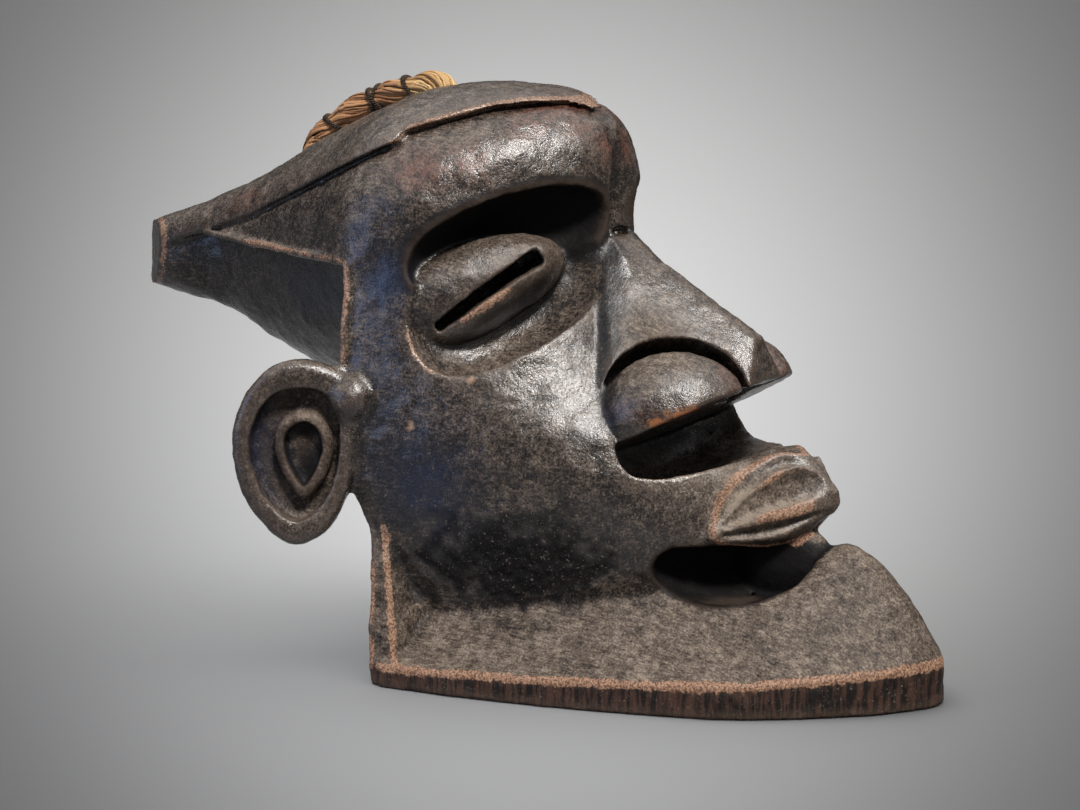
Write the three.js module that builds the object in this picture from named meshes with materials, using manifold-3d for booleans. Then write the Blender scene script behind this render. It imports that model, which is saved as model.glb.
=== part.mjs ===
// A carved wooden helmet mask that stands on its beard flange, with a raffia crest bound on its cap.
// Millimetres, +Z up. The face looks towards -Y, and the horn of the cap points back along +Y.
// Distances back are y, and half widths are given for one side and mirrored.

import * as THREE from "three";
import { LoftGeometry } from "three/addons/geometries/LoftGeometry.js";
import { mergeVertices } from "three/addons/utils/BufferGeometryUtils.js";
import Module from "manifold-3d";

const wasm = await Module();
wasm.setup();

// Driving dimensions
const CENTRE_SHIFT = -13; // brings the middle of the length over the origin
const WALL = 13; // thickness of the carved shell
const TOUCH_GAP = 0.3; // clearance between pieces that touch
const SIDES = [-1, 1];
const ROOM = 600; // more than the mask's length, for the blocks that trim it

// Face: height, half width and how far forward, from the jaw to the brow
const FACE_BACK = 60;
const FACE_ROUND = { front: 0.92, side: 0.95 }; // under 1 makes the section boxier than an ellipse
const CHEEK_LEVELS = [
  [20, 80, -130],
  [45, 90, -140],
  [70, 98, -150],
  [95, 104, -156],
  [118, 107, -151],
  [135, 108, -139],
  [150, 108, -122],
  [163, 107, -103],
  [178, 105, -86],
  [195, 103, -73],
  [215, 100, -61],
  [240, 97, -51],
  [268, 92, -44],
];
// Hollow: height, half width and how far forward; it is open below and, under the nape, behind
const NAPE_EDGE = 172;
const HOLLOW_BACK = 90; // the head's hollow runs out here, behind the back of the face
const CROWN_HOLLOW = { front: 20, back: 110, closedFrom: 90, overlap: 65 };
const HOLLOW_LEVELS = [
  [-20, 78, -118],
  [30, 79, -117],
  [62, 85, -112],
  [86, 90, -92],
  [110, 94, -62],
  [135, 94, -50],
  [160, 93, -44],
  [190, 88, -26],
  [215, 80, -8],
  [245, 68, 6],
];

// Crown and horn: distance back, half width, top, height of the widest line, underside
const CROWN_LEVELS = [
  [-50, 15, 288, 279, 266],
  [-47, 27, 295, 278, 258],
  [-40, 40, 303, 276, 246],
  [-28, 54, 311, 272, 205],
  [-10, 71, 317, 264, 175],
  [13, 86, 320, 254, 162],
  [40, 97, 320, 240, 162],
  [68, 98, 315, 227, 170],
  [100, 82, 303, 227, 168],
  [134, 66, 289, 227, 171],
  [172, 48, 270, 227, 178],
  [215, 33, 252, 226, 187],
  [248, 26, 242, 219, 192],
  [275, 20, 233, 214, 196],
];
const CROWN_FULLNESS = 0.88; // under 1 makes the section boxier than an ellipse
const TEMPLE_STEP = 8; // the face layer stands proud of the nape
const CROWN_SEAM = { side: 0.5, drop: 1 }; // parts the upper and lower arcs of a section
const HORN_CUT = { at: [-14, 266, 214], facing: [-0.62, 0.78, 0.05], size: 80 };
const VALLEY = { at: [0, -65, 258], radii: [46, 15, 26], along: [0, -0.3, 1], facing: [0, -1, -0.25] };

// Cap: its lower edge as distance back and height, and how proud it stands
const CAP_STEP = 5;
const CAP_TAIL = [205, 245]; // the step dies out here towards the horn's end
const CAP_NOTCH = { back: 44, rise: 5 }; // in front of here the edge is this much higher
const CAP_EDGE = [
  [290, 200],
  [236, 226],
  [216, 231],
  [166, 246],
  [121, 264],
  [82, 280],
  [44, 297],
  [3, 307],
  [-32, 313],
  [-70, 317],
];
const CAP_CLEAR = 400; // height over the top of the crown

// Eyes
const EYE_AXIS = [-0.6, -0.55, 0.58]; // from the temple up to the nose
const EYE_FACING = [0.76, -0.62, 0.12];
const SOCKET = { at: [66, -20, 222], radii: [66, 40, 27] };
const BROW_HOLLOW = { at: [62, -18, 242], radii: [60, 25, 24], along: [-0.66, -0.71, 0.28] };
const BEAN = { at: [56, -3, 215], radii: [50, 23, 22] };
const SLIT = { length: 74, width: 7, depth: 70 };

// Nose
const NOSE_FLANK = [3, -2, 2]; // swell of each flank
const NOSE_WALL = [-6, 24, -8]; // from the crease into the face
const NOSE_ROOT = { ridge: [4, -54, 243], crease: [16, -46, 241] };
const NOSE_END = { ridge: [7, -140, 193], crease: [61, -75, 163] };
const NOSE_TIP = { ridge: [16, -151, 170], crease: [62, -80, 146] };
const NOSTRIL_LIE = { along: [-0.42, -0.89, 0.18], facing: [0.8, -0.45, 0.3] };
const NOSTRIL = { at: [36, -101, 150], radii: [53, 32, 22] };
const ARCH = { at: [34, -106, 155], radii: [50, 36, 27] }; // groove over each nostril dome
const UNDER_NOSE = { along: [1, 0, 0], facing: [0, 0.52, 1] };
const RECESS = { ...UNDER_NOSE, at: [-6, -121, 130], radii: [74, 50, 22], boxy: 3 };
const NOSTRIL_HOLE = { ...UNDER_NOSE, at: [21, -108, 150], radii: [9, 7, 13] };

// Mouth: corner of the lips, then the median profile as distance back, height and which part it is
const MOUTH_CORNER = { half: 53, back: -126, height: 87 };
const LIP_GROOVE = { inward: 4.7, down: 3.6, fade: 1.6 };
const BEAK = { plan: 1.35, height: 2.4, corner: 0.04 }; // roundness both ways, and the size left at a corner
const MOUTH_PROFILE = [
  [-118, 126, 0],
  [-150, 137, 0],
  [-165, 134, 0],
  [-169, 130, 0],
  [-171, 127, 1],
  [-174, 123, 1],
  [-176, 121, 0],
  [-178, 118, 0],
  [-180, 115, 1],
  [-182, 112, 1],
  [-184, 110, 0],
  [-185, 107, 0],
  [-187, 105, 1],
  [-188, 103, 0],
  [-188, 97, 0],
  [-182, 90, 0],
  [-160, 82, 0],
  [-120, 66, 0],
];

// Flange: rim and seam with the jaw, as half width, distance back and height, from the tip to the rear
const FLANGE_RIM = [
  [0, -249, 21],
  [26, -235, 20],
  [46, -216, 19],
  [81, -168, 17],
  [98, -118, 16],
  [112, -55, 14],
  [119, 0, 13],
  [121, 34, 12],
];
const FLANGE_SEAM = [
  [0, -146, 68],
  [22, -142, 67],
  [42, -128, 64],
  [58, -104, 60],
  [70, -74, 54],
  [78, -40, 49],
  [80, 0, 44],
  [80, 34, 42],
];
const FLANGE_THICK = 15;
const FLANGE_FOOT = 22; // width of the rim's underside
const FLANGE_BEND = 0.4; // height of the bend of its inner wall, as a share of the seam's
const FLANGE_BULGE = { front: 20, side: -3, reach: 60 }; // the top swells at the tip and dips at the sides
// Fin: its front and rear faces, each from the outer foot over the top to the jaw
const FIN_FRONT = [
  [119, 22, 0],
  [118, 24, 13],
  [100, 41, 85],
  [86, 42, 92],
  [74, 12, 40],
  [74, 12, 0],
];
const FIN_REAR = [
  [119, 40, 0],
  [119, 42, 13],
  [102, 50, 85],
  [86, 52, 92],
  [74, 46, 40],
  [74, 46, 0],
];

// Ear: outline as along the ear's width and height, from its middle
const EAR = { at: [119, 86, 126], facing: [0.89, -0.45, 0.03], thick: 17, bowl: 12, bevel: 4 };
const EAR_OUTLINE = [
  [-30, 40],
  [-12, 51],
  [12, 49],
  [30, 30],
  [36, 2],
  [28, -28],
  [6, -51],
  [-14, -46],
  [-28, -24],
  [-34, 6],
];
const EAR_BOWL = { scale: 0.7, bevel: 1 }; // the bowl against the outline
const WHORL = { at: [-4, -4], radii: [13, 20], rim: 4.5, high: 8 };
const TRAGUS = { at: [105, 58, 157], radius: 11 };

// Raffia crest: its route along the median of the cap, as distance back and height of its middle
const CREST = { radius: 8.6, strand: 0.9, strands: 3, turns: 3.5 };
const CREST_ROUTE = [
  [160, 264],
  [153, 282],
  [134, 300],
  [108, 315],
  [82, 321],
  [62, 318],
  [49, 303],
];
// Binding cords: where along the crest, and how far each leans from square in radians
const CORD = { radius: 1.5, sink: 0.4 };
const CORDS = {
  binding_cord_rear: [0.3, 0.5],
  binding_cord_middle: [0.52, -0.5],
  binding_cord_front: [0.7, 0.55],
};

// Divisions of each form: along it and around it, or of a whole turn
const FINE = {
  face: [14, 22],
  hollow: [9, 16],
  crown: [16, 22],
  crownHollow: [6, 18],
  blob: 18,
  nostrilHole: 8,
  nose: 4,
  mouth: 14,
  flange: 22,
  ear: 16,
  whorl: [6, 16],
  tragus: [12, 8],
  crest: [18, 9],
  cord: [5, 14],
};

const MERGE = 1e-3; // points closer than this are one

const WOOD = new THREE.MeshStandardMaterial({ color: 0x2c2420, roughness: 0.5, metalness: 0 });
const RAFFIA = new THREE.MeshStandardMaterial({ color: 0xb98a4e, roughness: 0.85, metalness: 0 });
const CORD_FIBRE = new THREE.MeshStandardMaterial({ color: 0x4a3424, roughness: 0.9, metalness: 0 });

const vector = (values) => new THREE.Vector3(...values);
const joined = (solids) => solids.reduce((all, next) => all.add(next));

// A closed geometry as a solid, with its faces turned to point out.
function solid(geometry) {
  const plain = new THREE.BufferGeometry().copy(geometry);
  plain.deleteAttribute("normal");
  plain.deleteAttribute("uv");
  const merged = mergeVertices(plain, MERGE);
  const triVerts = new Uint32Array(merged.index.array);
  const vertProperties = merged.attributes.position.array;
  const made = new wasm.Manifold(new wasm.Mesh({ numProp: 3, vertProperties, triVerts }));
  if (made.volume() > 0) return made;
  for (let i = 0; i < triVerts.length; i += 3) {
    [triVerts[i + 1], triVerts[i + 2]] = [triVerts[i + 2], triVerts[i + 1]];
  }
  return new wasm.Manifold(new wasm.Mesh({ numProp: 3, vertProperties, triVerts }));
}

// Rings run anticlockwise as seen from the last one, as a loft's sections have to.
function loft(rings) {
  const turning = new THREE.Vector3();
  const first = rings[0];
  for (let i = 0; i < first.length; i++) {
    turning.add(new THREE.Vector3().crossVectors(first[i], first[(i + 1) % first.length]));
  }
  const middle = (ring) => ring.reduce((sum, p) => sum.add(p), new THREE.Vector3());
  const onward = middle(rings[rings.length - 1]).sub(middle(first));
  const ordered = turning.dot(onward) > 0 ? rings : rings.map((ring) => [...ring].reverse());
  return new LoftGeometry(ordered, { capStart: true, capEnd: true });
}

// Rows of a table of levels, run through smoothly and sampled evenly.
function smoothLevels(levels, count) {
  const columns = levels[0].slice(1).map(
    (_, c) => new THREE.SplineCurve(levels.map((row) => new THREE.Vector2(row[0], row[c + 1]))),
  );
  return Array.from({ length: count + 1 }, (_, i) => {
    const points = columns.map((curve) => curve.getPoint(i / count));
    return [points[0].x, ...points.map((p) => p.y)];
  });
}

// A power that keeps the sign, for rounded box sections
const power = (value, n) => Math.sign(value) * Math.abs(value) ** n;

// Upright D-shaped block: round in front and flat behind
function dBlock(levels, back, [steps, arc]) {
  return loft(
    smoothLevels(levels, steps).map(([z, half, front]) =>
      Array.from({ length: arc + 1 }, (_, i) => {
        const turn = (i / arc - 0.5) * Math.PI;
        const y = back - (back - front) * power(Math.cos(turn), FACE_ROUND.front);
        return new THREE.Vector3(half * power(Math.sin(turn), FACE_ROUND.side), y, z);
      }),
    ),
  );
}

// Crown and horn as one form; grow thickens it for the cap, and less than 0 makes the hollow inside.
function crown(grow, levels, [steps, around]) {
  const { smoothstep } = THREE.MathUtils;
  const arc = (from, half, high, y, widest) =>
    Array.from({ length: around / 2 + 1 }, (_, i) => {
      const turn = from + (i / (around / 2)) * Math.PI;
      const x = half * power(Math.cos(turn), CROWN_FULLNESS);
      return new THREE.Vector3(x, y, widest + high * power(Math.sin(turn), CROWN_FULLNESS));
    });
  return loft(
    smoothLevels(levels, steps).map(([y, half, top, widest, low]) => {
      const beforeTail = 1 - smoothstep(y, ...CAP_TAIL);
      const behindFace = smoothstep(y, FACE_BACK, FACE_BACK + TEMPLE_STEP) * beforeTail;
      const step = CROWN_SEAM.side + TEMPLE_STEP * behindFace;
      const thick = grow > 0 ? grow * beforeTail : grow;
      const upper = arc(0, half + thick, top - widest + thick, y, widest);
      const lower = arc(Math.PI, half + thick - step, widest - low + thick, y, widest - CROWN_SEAM.drop);
      return [...upper, ...lower];
    }),
  );
}

// Axes of a form that has its length along one direction and its outside facing another
function placed({ at, along, facing }) {
  const length = vector(along).normalize();
  const up = new THREE.Vector3().crossVectors(vector(facing), length).normalize();
  const out = new THREE.Vector3().crossVectors(length, up);
  return new THREE.Matrix4().makeBasis(length, up, out).setPosition(vector(at));
}

// Round body; a boxy power over 2 fills it out towards a rounded box.
function blob(form, round = FINE.blob) {
  const { radii, boxy = 2 } = form;
  const geometry = new THREE.SphereGeometry(1, round, round / 2);
  const points = geometry.attributes.position;
  for (let i = 0; i < points.count; i++) {
    const point = new THREE.Vector3().fromBufferAttribute(points, i);
    const sum = point.toArray().reduce((all, c) => all + Math.abs(c) ** boxy, 0);
    points.setXYZ(i, ...point.multiplyScalar(sum ** (-1 / boxy)).toArray());
  }
  return geometry.scale(...radii).applyMatrix4(placed(form));
}

// The same feature on the mask's right and left
const bothSides = (make) =>
  joined(
    SIDES.map((side) => {
      const geometry = make();
      geometry.scale(side, 1, 1);
      return solid(geometry);
    }),
  );

// Pyramid of the nose: sections from the root to the tip, each with a narrow ridge and two creases
function nose() {
  const marks = [NOSE_ROOT, NOSE_END, NOSE_TIP];
  const rings = marks.flatMap((mark, m) => {
    const next = marks[m + 1];
    const steps = next ? FINE.nose : 1;
    return Array.from({ length: steps }, (_, i) => {
      const blend = (key) => vector(mark[key]).lerp(vector((next ?? mark)[key]), i / steps);
      const ridge = blend("ridge");
      const crease = blend("crease");
      const flank = ridge.clone().lerp(crease, 0.5).add(vector(NOSE_FLANK));
      const half = [ridge, flank, crease, crease.clone().add(vector(NOSE_WALL))];
      const other = half.map((p) => new THREE.Vector3(-p.x, p.y, p.z)).reverse();
      return [...half, ...other];
    });
  });
  return solid(loft(rings));
}

// Beak of the lips: the median profile shrinks towards the two corners, and its grooves with it
function mouth() {
  const { half, back, height } = MOUTH_CORNER;
  const rings = Array.from({ length: FINE.mouth + 1 }, (_, i) => {
    const across = (i / FINE.mouth) * 2 - 1;
    const deep = 1 - Math.abs(across) ** BEAK.plan * (1 - BEAK.corner);
    const tall = 1 - Math.abs(across) ** BEAK.height * (1 - BEAK.corner);
    const cut = Math.min(1, deep * LIP_GROOVE.fade);
    return MOUTH_PROFILE.map(([y, z, groove]) => {
      const lie = back + (y - back) * deep + groove * cut * LIP_GROOVE.inward;
      const rise = height + (z - height) * tall - groove * cut * LIP_GROOVE.down;
      return new THREE.Vector3(half * across, lie, rise);
    });
  });
  return solid(loft(rings));
}

// Flange of the beard: one section carried round from the right rear, past the tip, to the left rear
function flange() {
  const curve = (points) => {
    const mirrored = points.slice(1).reverse().map(([x, y, z]) => vector([-x, y, z]));
    return new THREE.CatmullRomCurve3([...mirrored, ...points.map(vector)], false, "centripetal");
  };
  const rim = curve(FLANGE_RIM);
  const seam = curve(FLANGE_SEAM);
  const { front, side, reach } = FLANGE_BULGE;
  const rings = Array.from({ length: FINE.flange + 1 }, (_, i) => {
    const edge = rim.getPoint(i / FINE.flange);
    const root = seam.getPoint(i / FINE.flange);
    const inward = root.clone().sub(edge).setZ(0).normalize();
    const foot = edge.clone().addScaledVector(inward, FLANGE_FOOT).setZ(0);
    const deep = root.clone().addScaledVector(inward, FLANGE_THICK);
    const bend = deep.clone().lerp(foot, 0.5).setZ(root.z * FLANGE_BEND);
    const swell = side + (front - side) * Math.exp(-((edge.x / reach) ** 2));
    const top = [0.25, 0.5, 0.75].map((part) =>
      edge.clone().lerp(root, part).add(vector([0, 0, swell * 4 * part * (1 - part)])),
    );
    return [edge.clone().setZ(0), edge, ...top, root, deep, bend, foot];
  });
  return solid(loft(rings));
}

// Upright fin that closes the rear of the flange under each ear
function fin() {
  return loft([FIN_REAR.map(vector), FIN_FRONT.map(vector)]);
}

// Ear plate, its bowl and its whorl share one local plane
function onEar(geometry) {
  const across = new THREE.Vector3().crossVectors(vector([0, 0, 1]), vector(EAR.facing));
  return geometry.applyMatrix4(placed({ ...EAR, along: across.toArray() }));
}

function earPlate(scale, from, to, bevel) {
  const points = EAR_OUTLINE.map(([x, y]) => new THREE.Vector2(x * scale, y * scale));
  const curve = new THREE.SplineCurve([...points, points[0]]);
  const shape = new THREE.Shape(curve.getPoints(FINE.ear).slice(0, -1));
  const geometry = new THREE.ExtrudeGeometry(shape, {
    depth: to - from - 2 * bevel,
    bevelSize: bevel,
    bevelThickness: bevel,
    bevelOffset: -bevel,
    bevelSegments: 1,
  });
  return onEar(geometry.translate(0, 0, from + bevel));
}

function whorl() {
  const [wide, high] = WHORL.radii;
  const mean = (wide + high) / 2;
  const ring = new THREE.TorusGeometry(1, WHORL.rim / mean, ...FINE.whorl).scale(wide, high, mean);
  return onEar(ring.translate(...WHORL.at, WHORL.high - EAR.thick / 2));
}

function ears() {
  const { thick, bevel } = EAR;
  const plate = bothSides(() => earPlate(1, -thick / 2, thick / 2, bevel));
  const bowl = bothSides(() => earPlate(EAR_BOWL.scale, thick / 2 - EAR.bowl, thick, EAR_BOWL.bevel));
  const knob = () => new THREE.SphereGeometry(TRAGUS.radius, ...FINE.tragus).translate(...TRAGUS.at);
  return joined([plate.subtract(bowl), bothSides(whorl), bothSides(knob)]);
}

// Everything above the cap's lower edge, to cut the cap from the thicker crown
function aboveCapEdge() {
  const { back, rise } = CAP_NOTCH;
  const point = ([y, z]) => new THREE.Vector2(y, z);
  const rear = CAP_EDGE.filter(([y]) => y >= back);
  const fore = CAP_EDGE.filter(([y]) => y <= back).map(([y, z]) => [y, z + rise]);
  const ends = [fore[fore.length - 1], rear[0]].map(([y]) => [y, CAP_CLEAR]);
  const shape = new THREE.Shape([...rear, ...fore, ...ends].map(point));
  const geometry = new THREE.ExtrudeGeometry(shape, { depth: ROOM, bevelEnabled: false });
  const sideways = new THREE.Matrix4().makeBasis(vector([0, 1, 0]), vector([0, 0, 1]), vector([1, 0, 0]));
  return solid(geometry.applyMatrix4(sideways).translate(-ROOM / 2, 0, 0));
}

// Eye: a deep socket, and in it a bean-shaped lid that is split by a slit
function eyes() {
  const lie = { along: EYE_AXIS, facing: EYE_FACING };
  const slitBox = () => new THREE.BoxGeometry(SLIT.length, SLIT.width, SLIT.depth);
  return {
    socket: joined([SOCKET, BROW_HOLLOW].map((form) => bothSides(() => blob({ ...lie, ...form })))),
    bean: bothSides(() => blob({ ...lie, ...BEAN })),
    slit: bothSides(() => slitBox().applyMatrix4(placed({ ...lie, at: BEAN.at }))),
  };
}

// Hollow of the head, open below and behind under the horn
function hollow() {
  const block = new THREE.BoxGeometry(ROOM, ROOM, ROOM);
  const nape = solid(block.translate(0, FACE_BACK - WALL / 2 + ROOM / 2, NAPE_EDGE + ROOM / 2));
  const head = solid(dBlock(HOLLOW_LEVELS, HOLLOW_BACK, FINE.hollow)).subtract(nape);
  const { front, back, closedFrom, overlap } = CROWN_HOLLOW;
  const inside = CROWN_LEVELS.filter(([y]) => y > front && y < back).map(([y, half, top, widest]) => {
    const low = y < closedFrom ? NAPE_EDGE - overlap : NAPE_EDGE + WALL;
    return [y, half, top, widest, low];
  });
  return joined([head, solid(crown(-WALL, inside, FINE.crownHollow))]);
}

// The horn ends in a slanting saw cut
function hornEnd() {
  const { at, facing, size } = HORN_CUT;
  const block = new THREE.BoxGeometry(size, size, size).translate(0, 0, size / 2);
  const turn = new THREE.Quaternion().setFromUnitVectors(vector([0, 0, 1]), vector(facing).normalize());
  return solid(block.applyQuaternion(turn).translate(...at));
}

function wood() {
  const { socket, bean, slit } = eyes();
  const nostrilForm = (form) => bothSides(() => blob({ ...NOSTRIL_LIE, ...form }));
  const cap = solid(crown(CAP_STEP, CROWN_LEVELS, FINE.crown)).intersect(aboveCapEdge());
  const below = solid(new THREE.BoxGeometry(ROOM, ROOM, ROOM).translate(0, 0, -ROOM / 2));
  return solid(dBlock(CHEEK_LEVELS, FACE_BACK, FINE.face))
    .add(solid(crown(0, CROWN_LEVELS, FINE.crown)))
    .subtract(solid(blob(VALLEY)))
    .subtract(socket)
    .add(bean)
    .add(nose().subtract(nostrilForm(ARCH)))
    .add(nostrilForm(NOSTRIL))
    .subtract(solid(blob(RECESS)))
    .subtract(bothSides(() => blob(NOSTRIL_HOLE, FINE.nostrilHole)))
    .add(mouth())
    .add(flange())
    .add(bothSides(fin))
    .add(ears())
    .add(cap)
    .subtract(hollow())
    .subtract(slit)
    .subtract(below)
    .subtract(hornEnd());
}

const crestCurve = new THREE.CatmullRomCurve3(CREST_ROUTE.map(([y, z]) => vector([0, y, z])));

// Twisted bundle: a round section with a lobe for each strand, turned as it goes
function crest() {
  const [steps, around] = FINE.crest;
  const rings = Array.from({ length: steps + 1 }, (_, i) => {
    const middle = crestCurve.getPointAt(i / steps);
    const ahead = crestCurve.getTangentAt(i / steps);
    const up = new THREE.Vector3(0, -ahead.z, ahead.y);
    return Array.from({ length: around }, (_, k) => {
      const angle = (k / around) * 2 * Math.PI;
      const lobe = Math.cos(CREST.strands * angle - CREST.turns * 2 * Math.PI * (i / steps));
      const reach = CREST.radius + CREST.strand * lobe;
      return new THREE.Vector3(Math.cos(angle) * reach, 0, 0)
        .addScaledVector(up, Math.sin(angle) * reach)
        .add(middle);
    });
  });
  return solid(loft(rings));
}

// One turn of cord round the crest; swell widens it, for the groove that it lies in.
function bindingCord([along, lean], swell) {
  const reach = CREST.radius + CREST.strand - CORD.sink + CORD.radius / 2;
  const ring = new THREE.TorusGeometry(reach, CORD.radius + swell, ...FINE.cord);
  const ahead = crestCurve.getTangentAt(along);
  ring.rotateY(lean);
  ring.applyQuaternion(new THREE.Quaternion().setFromUnitVectors(vector([0, 0, 1]), ahead));
  return solid(ring.translate(...crestCurve.getPointAt(along).toArray()));
}

const clearOfCap = solid(crown(CAP_STEP + TOUCH_GAP, CROWN_LEVELS, FINE.crown));
const grooves = joined(Object.values(CORDS).map((at) => bindingCord(at, TOUCH_GAP)));

function mesh(name, made, material) {
  const { vertProperties, triVerts } = made.getMesh();
  const geometry = new THREE.BufferGeometry();
  geometry.setAttribute("position", new THREE.BufferAttribute(new Float32Array(vertProperties), 3));
  geometry.setIndex(new THREE.BufferAttribute(new Uint32Array(triVerts), 1));
  geometry.computeVertexNormals();
  const node = new THREE.Mesh(geometry, material);
  node.name = name;
  return node;
}

const mask = new THREE.Group();
mask.position.y = CENTRE_SHIFT;
mask.add(mesh("mask", wood(), WOOD));
mask.add(mesh("raffia_crest", crest().subtract(clearOfCap).subtract(grooves), RAFFIA));
for (const [name, at] of Object.entries(CORDS)) {
  mask.add(mesh(name, bindingCord(at, 0).subtract(clearOfCap), CORD_FIBRE));
}

export default mask;
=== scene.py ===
import math

import bpy
import numpy as np
import openvdb as vdb
from bpy.props import FloatProperty, FloatVectorProperty, IntProperty, PointerProperty
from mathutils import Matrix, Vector


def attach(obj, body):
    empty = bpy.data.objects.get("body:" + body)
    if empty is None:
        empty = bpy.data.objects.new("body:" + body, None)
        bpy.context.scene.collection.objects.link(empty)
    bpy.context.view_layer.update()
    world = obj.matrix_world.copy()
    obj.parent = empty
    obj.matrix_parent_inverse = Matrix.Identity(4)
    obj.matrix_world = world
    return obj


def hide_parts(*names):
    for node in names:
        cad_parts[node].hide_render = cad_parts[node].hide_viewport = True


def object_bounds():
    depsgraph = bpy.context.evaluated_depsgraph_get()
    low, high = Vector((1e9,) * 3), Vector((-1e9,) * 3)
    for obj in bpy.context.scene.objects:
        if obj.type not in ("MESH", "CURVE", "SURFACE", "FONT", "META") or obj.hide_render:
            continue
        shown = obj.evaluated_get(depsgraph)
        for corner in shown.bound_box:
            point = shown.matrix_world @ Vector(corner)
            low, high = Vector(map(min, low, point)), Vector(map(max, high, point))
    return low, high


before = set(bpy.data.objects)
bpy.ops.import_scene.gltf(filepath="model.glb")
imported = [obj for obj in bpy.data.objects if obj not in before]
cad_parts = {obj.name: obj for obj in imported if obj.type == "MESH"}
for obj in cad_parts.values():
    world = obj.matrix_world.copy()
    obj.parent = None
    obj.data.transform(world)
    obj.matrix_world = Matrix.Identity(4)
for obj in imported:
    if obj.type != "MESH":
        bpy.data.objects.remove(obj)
CAD_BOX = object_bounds()

bl_info = {
    "name": "Carved helmet mask",
    "version": (1, 0, 0),
    "blender": (4, 5, 0),
    "location": "View3D > Sidebar > Mask",
    "description": "Builds a carved wooden helmet mask with a raffia crest over its CAD frame",
    "category": "Add Mesh",
}

SEED = 7
MM = 0.001

# The wood is carved in a block of distances, in mm: less than 0 in wood, and kept to FAR either way.
# x runs to one side of the face and is mirrored, y runs back from the brow and z up. SHIFT moves the
# carving in y to the middle of the frame. The sizes are those of the frame's mask.
SHIFT = (0, -13, 0)
BLOCK = ((0, -270, -4), (146, 285, 335))
FAR = 12.0
WALL = 13

# Patches of the finish, each with its middle and radii, for one side.
# Crust of dirt at the foot of the cheek
CRUST = {"at": (90, -34, 72), "radii": (60, 96, 44)}
# Worn to red-brown
WORN = [
    ((82, 26, 283), (24, 22, 16)), ((70, 0, 286), (18, 16, 13)), ((46, -20, 302), (16, 16, 10)),
    ((12, -48, 291), (10, 14, 12)), ((24, -37, 302), (14, 12, 9)), ((48, -104, 158), (26, 26, 8)),
    ((20, -30, 313), (60, 40, 5)), ((30, -140, 178), (16, 14, 14)), ((44, 180, 255), (14, 40, 10)),
]
# Where edges are rubbed to tan wood; other edges are only a little paler
RUBBED = [
    ((112, 42, 66), (14, 16, 60)), ((30, -170, 108), (44, 34, 34)), ((52, -100, 155), (30, 30, 10)),
    ((38, -106, 184), (34, 30, 10)), ((40, -26, 304), (40, 34, 9)), ((98, 18, 192), (14, 18, 22)),
    ((97, 66, 225), (14, 14, 40)), ((66, 135, 232), (34, 70, 7)), ((104, 5, 180), (16, 16, 14)),
]
# Bare orange wood under the nostril
ORANGE = [((55, -122, 157), (18, 14, 8)), ((64, -108, 152), (12, 12, 5))]
# Painted reflection of a cool light on the glossy wood, bluish-black
PAINTED_REFLECTION = [
    ((106, 12, 112), (16, 36, 32)), ((86, 96, 200), (24, 30, 40)), ((98, 40, 222), (12, 16, 22)),
    ((70, 130, 205), (30, 40, 22)), ((120, 114, 120), (20, 26, 60)), ((84, -77, 150), (10, 12, 10)),
]
# Dull instead of polished
DUSTY = [
    ((108, 38, 50), (20, 26, 52)), ((36, -148, 104), (34, 30, 34)), ((30, -170, 110), (30, 30, 30)),
    ((34, -92, 196), (26, 40, 30)), ((46, -100, 178), (26, 30, 14)), ((62, -30, 222), (50, 44, 30)),
]
# Paler than the wood round it
PALE = [((30, -168, 110), (44, 36, 34)), ((44, -140, 100), (20, 26, 26)), ((58, -112, 128), (20, 24, 18))]
# Small chips, with one radius each
CHIPS = [((106, 20, 143), 2.6), ((96, -12, 171), 3.2), ((77, -73, 151), 2.2), ((90, 12, 196), 3.4)]

# Width of the tan band that handling has bared along each edge. The cap's lies over its lower edge and
# ends at its sides, the lid's runs along the lower side of the slit, and the lips' follows their rims
BARE = {"lips": 4.5, "flange": 5, "fin": 4.5, "temple": 3.4, "lid": 4, "cap": 4.5}
BARE_CAP = {"below": (-1.5, 0), "back": (60, 40)}
BARE_LID = {"along": (-24, -8, 8), "out": 0.93}
BARE_LIPS_STEPS = 24
# Heights over which the rim of the flange is rubbed, and over which the wood turns dull towards its foot
RIM_RUBBED = {"over": (30, 22), "from": 8, "share": 0.8}
MATTE = {"over": (50, 38), "lean": 0.25}
# Shares of black painted shade under the nose and in the ear's pit, how much darker the lower lid is made,
# and the share of painted shade with grime beside the nose
PAINTED_SHADE = {"nose": 0.12, "ear": 0.8, "lid": 0.35, "beside": 0.4}
# The line of painted shade with grime beside the nose: its shift from the nose's creases, and the distances
# over which it fades
NOSE_GRIME_AND_SHADE = {"off": (-1, -8, 2), "over": (9, 4)}
# A body that keeps the painted shade of the brow hollow off the side of the nose
NOSE_SIDE = {"at": (10, -60, 235), "radii": (9, 16, 24), "along": (1, 0, 0), "facing": (0, -1, 0)}

# Relief: the blade marks, swells as widths and heights, the grain, and the lumps of the crust
BLADE = {"wide": 14, "deep": 0.8}
SCOOPS = {"scatter": 0.45, "edge": 0.8}
SWELLS = [(9, 0.4), (4, 0.26)]
GRAIN = {"wide": (2.2, 26, 2.2), "high": 0.14}
LUMPS = {"wide": 4.2, "high": 1.2, "fine": 2.2, "rough": 0.6, "shift": 50}
# Nicks and scratches in the rim of the flange, round one height
NICKS = {"height": 14, "half": 6, "fade": (3, -6), "wide": (9, 9, 14), "deep": 0.8, "from": 0.25}
SCRATCHES = {"wide": (3, 3, 12), "deep": 0.35}
# The foot stays flat below this height, and only what faces outwards from the head has crust and nicks
FOOT = 0.6
OUTWARD = {"from": (0, -20, 130), "over": (-0.2, 0.4)}
# How often the carving is averaged to find its bends, and to find how much wood surrounds each spot, for the
# painted occlusion shade
SOFTER = {"bend": 4, "occlusion_shade": 40}

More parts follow.
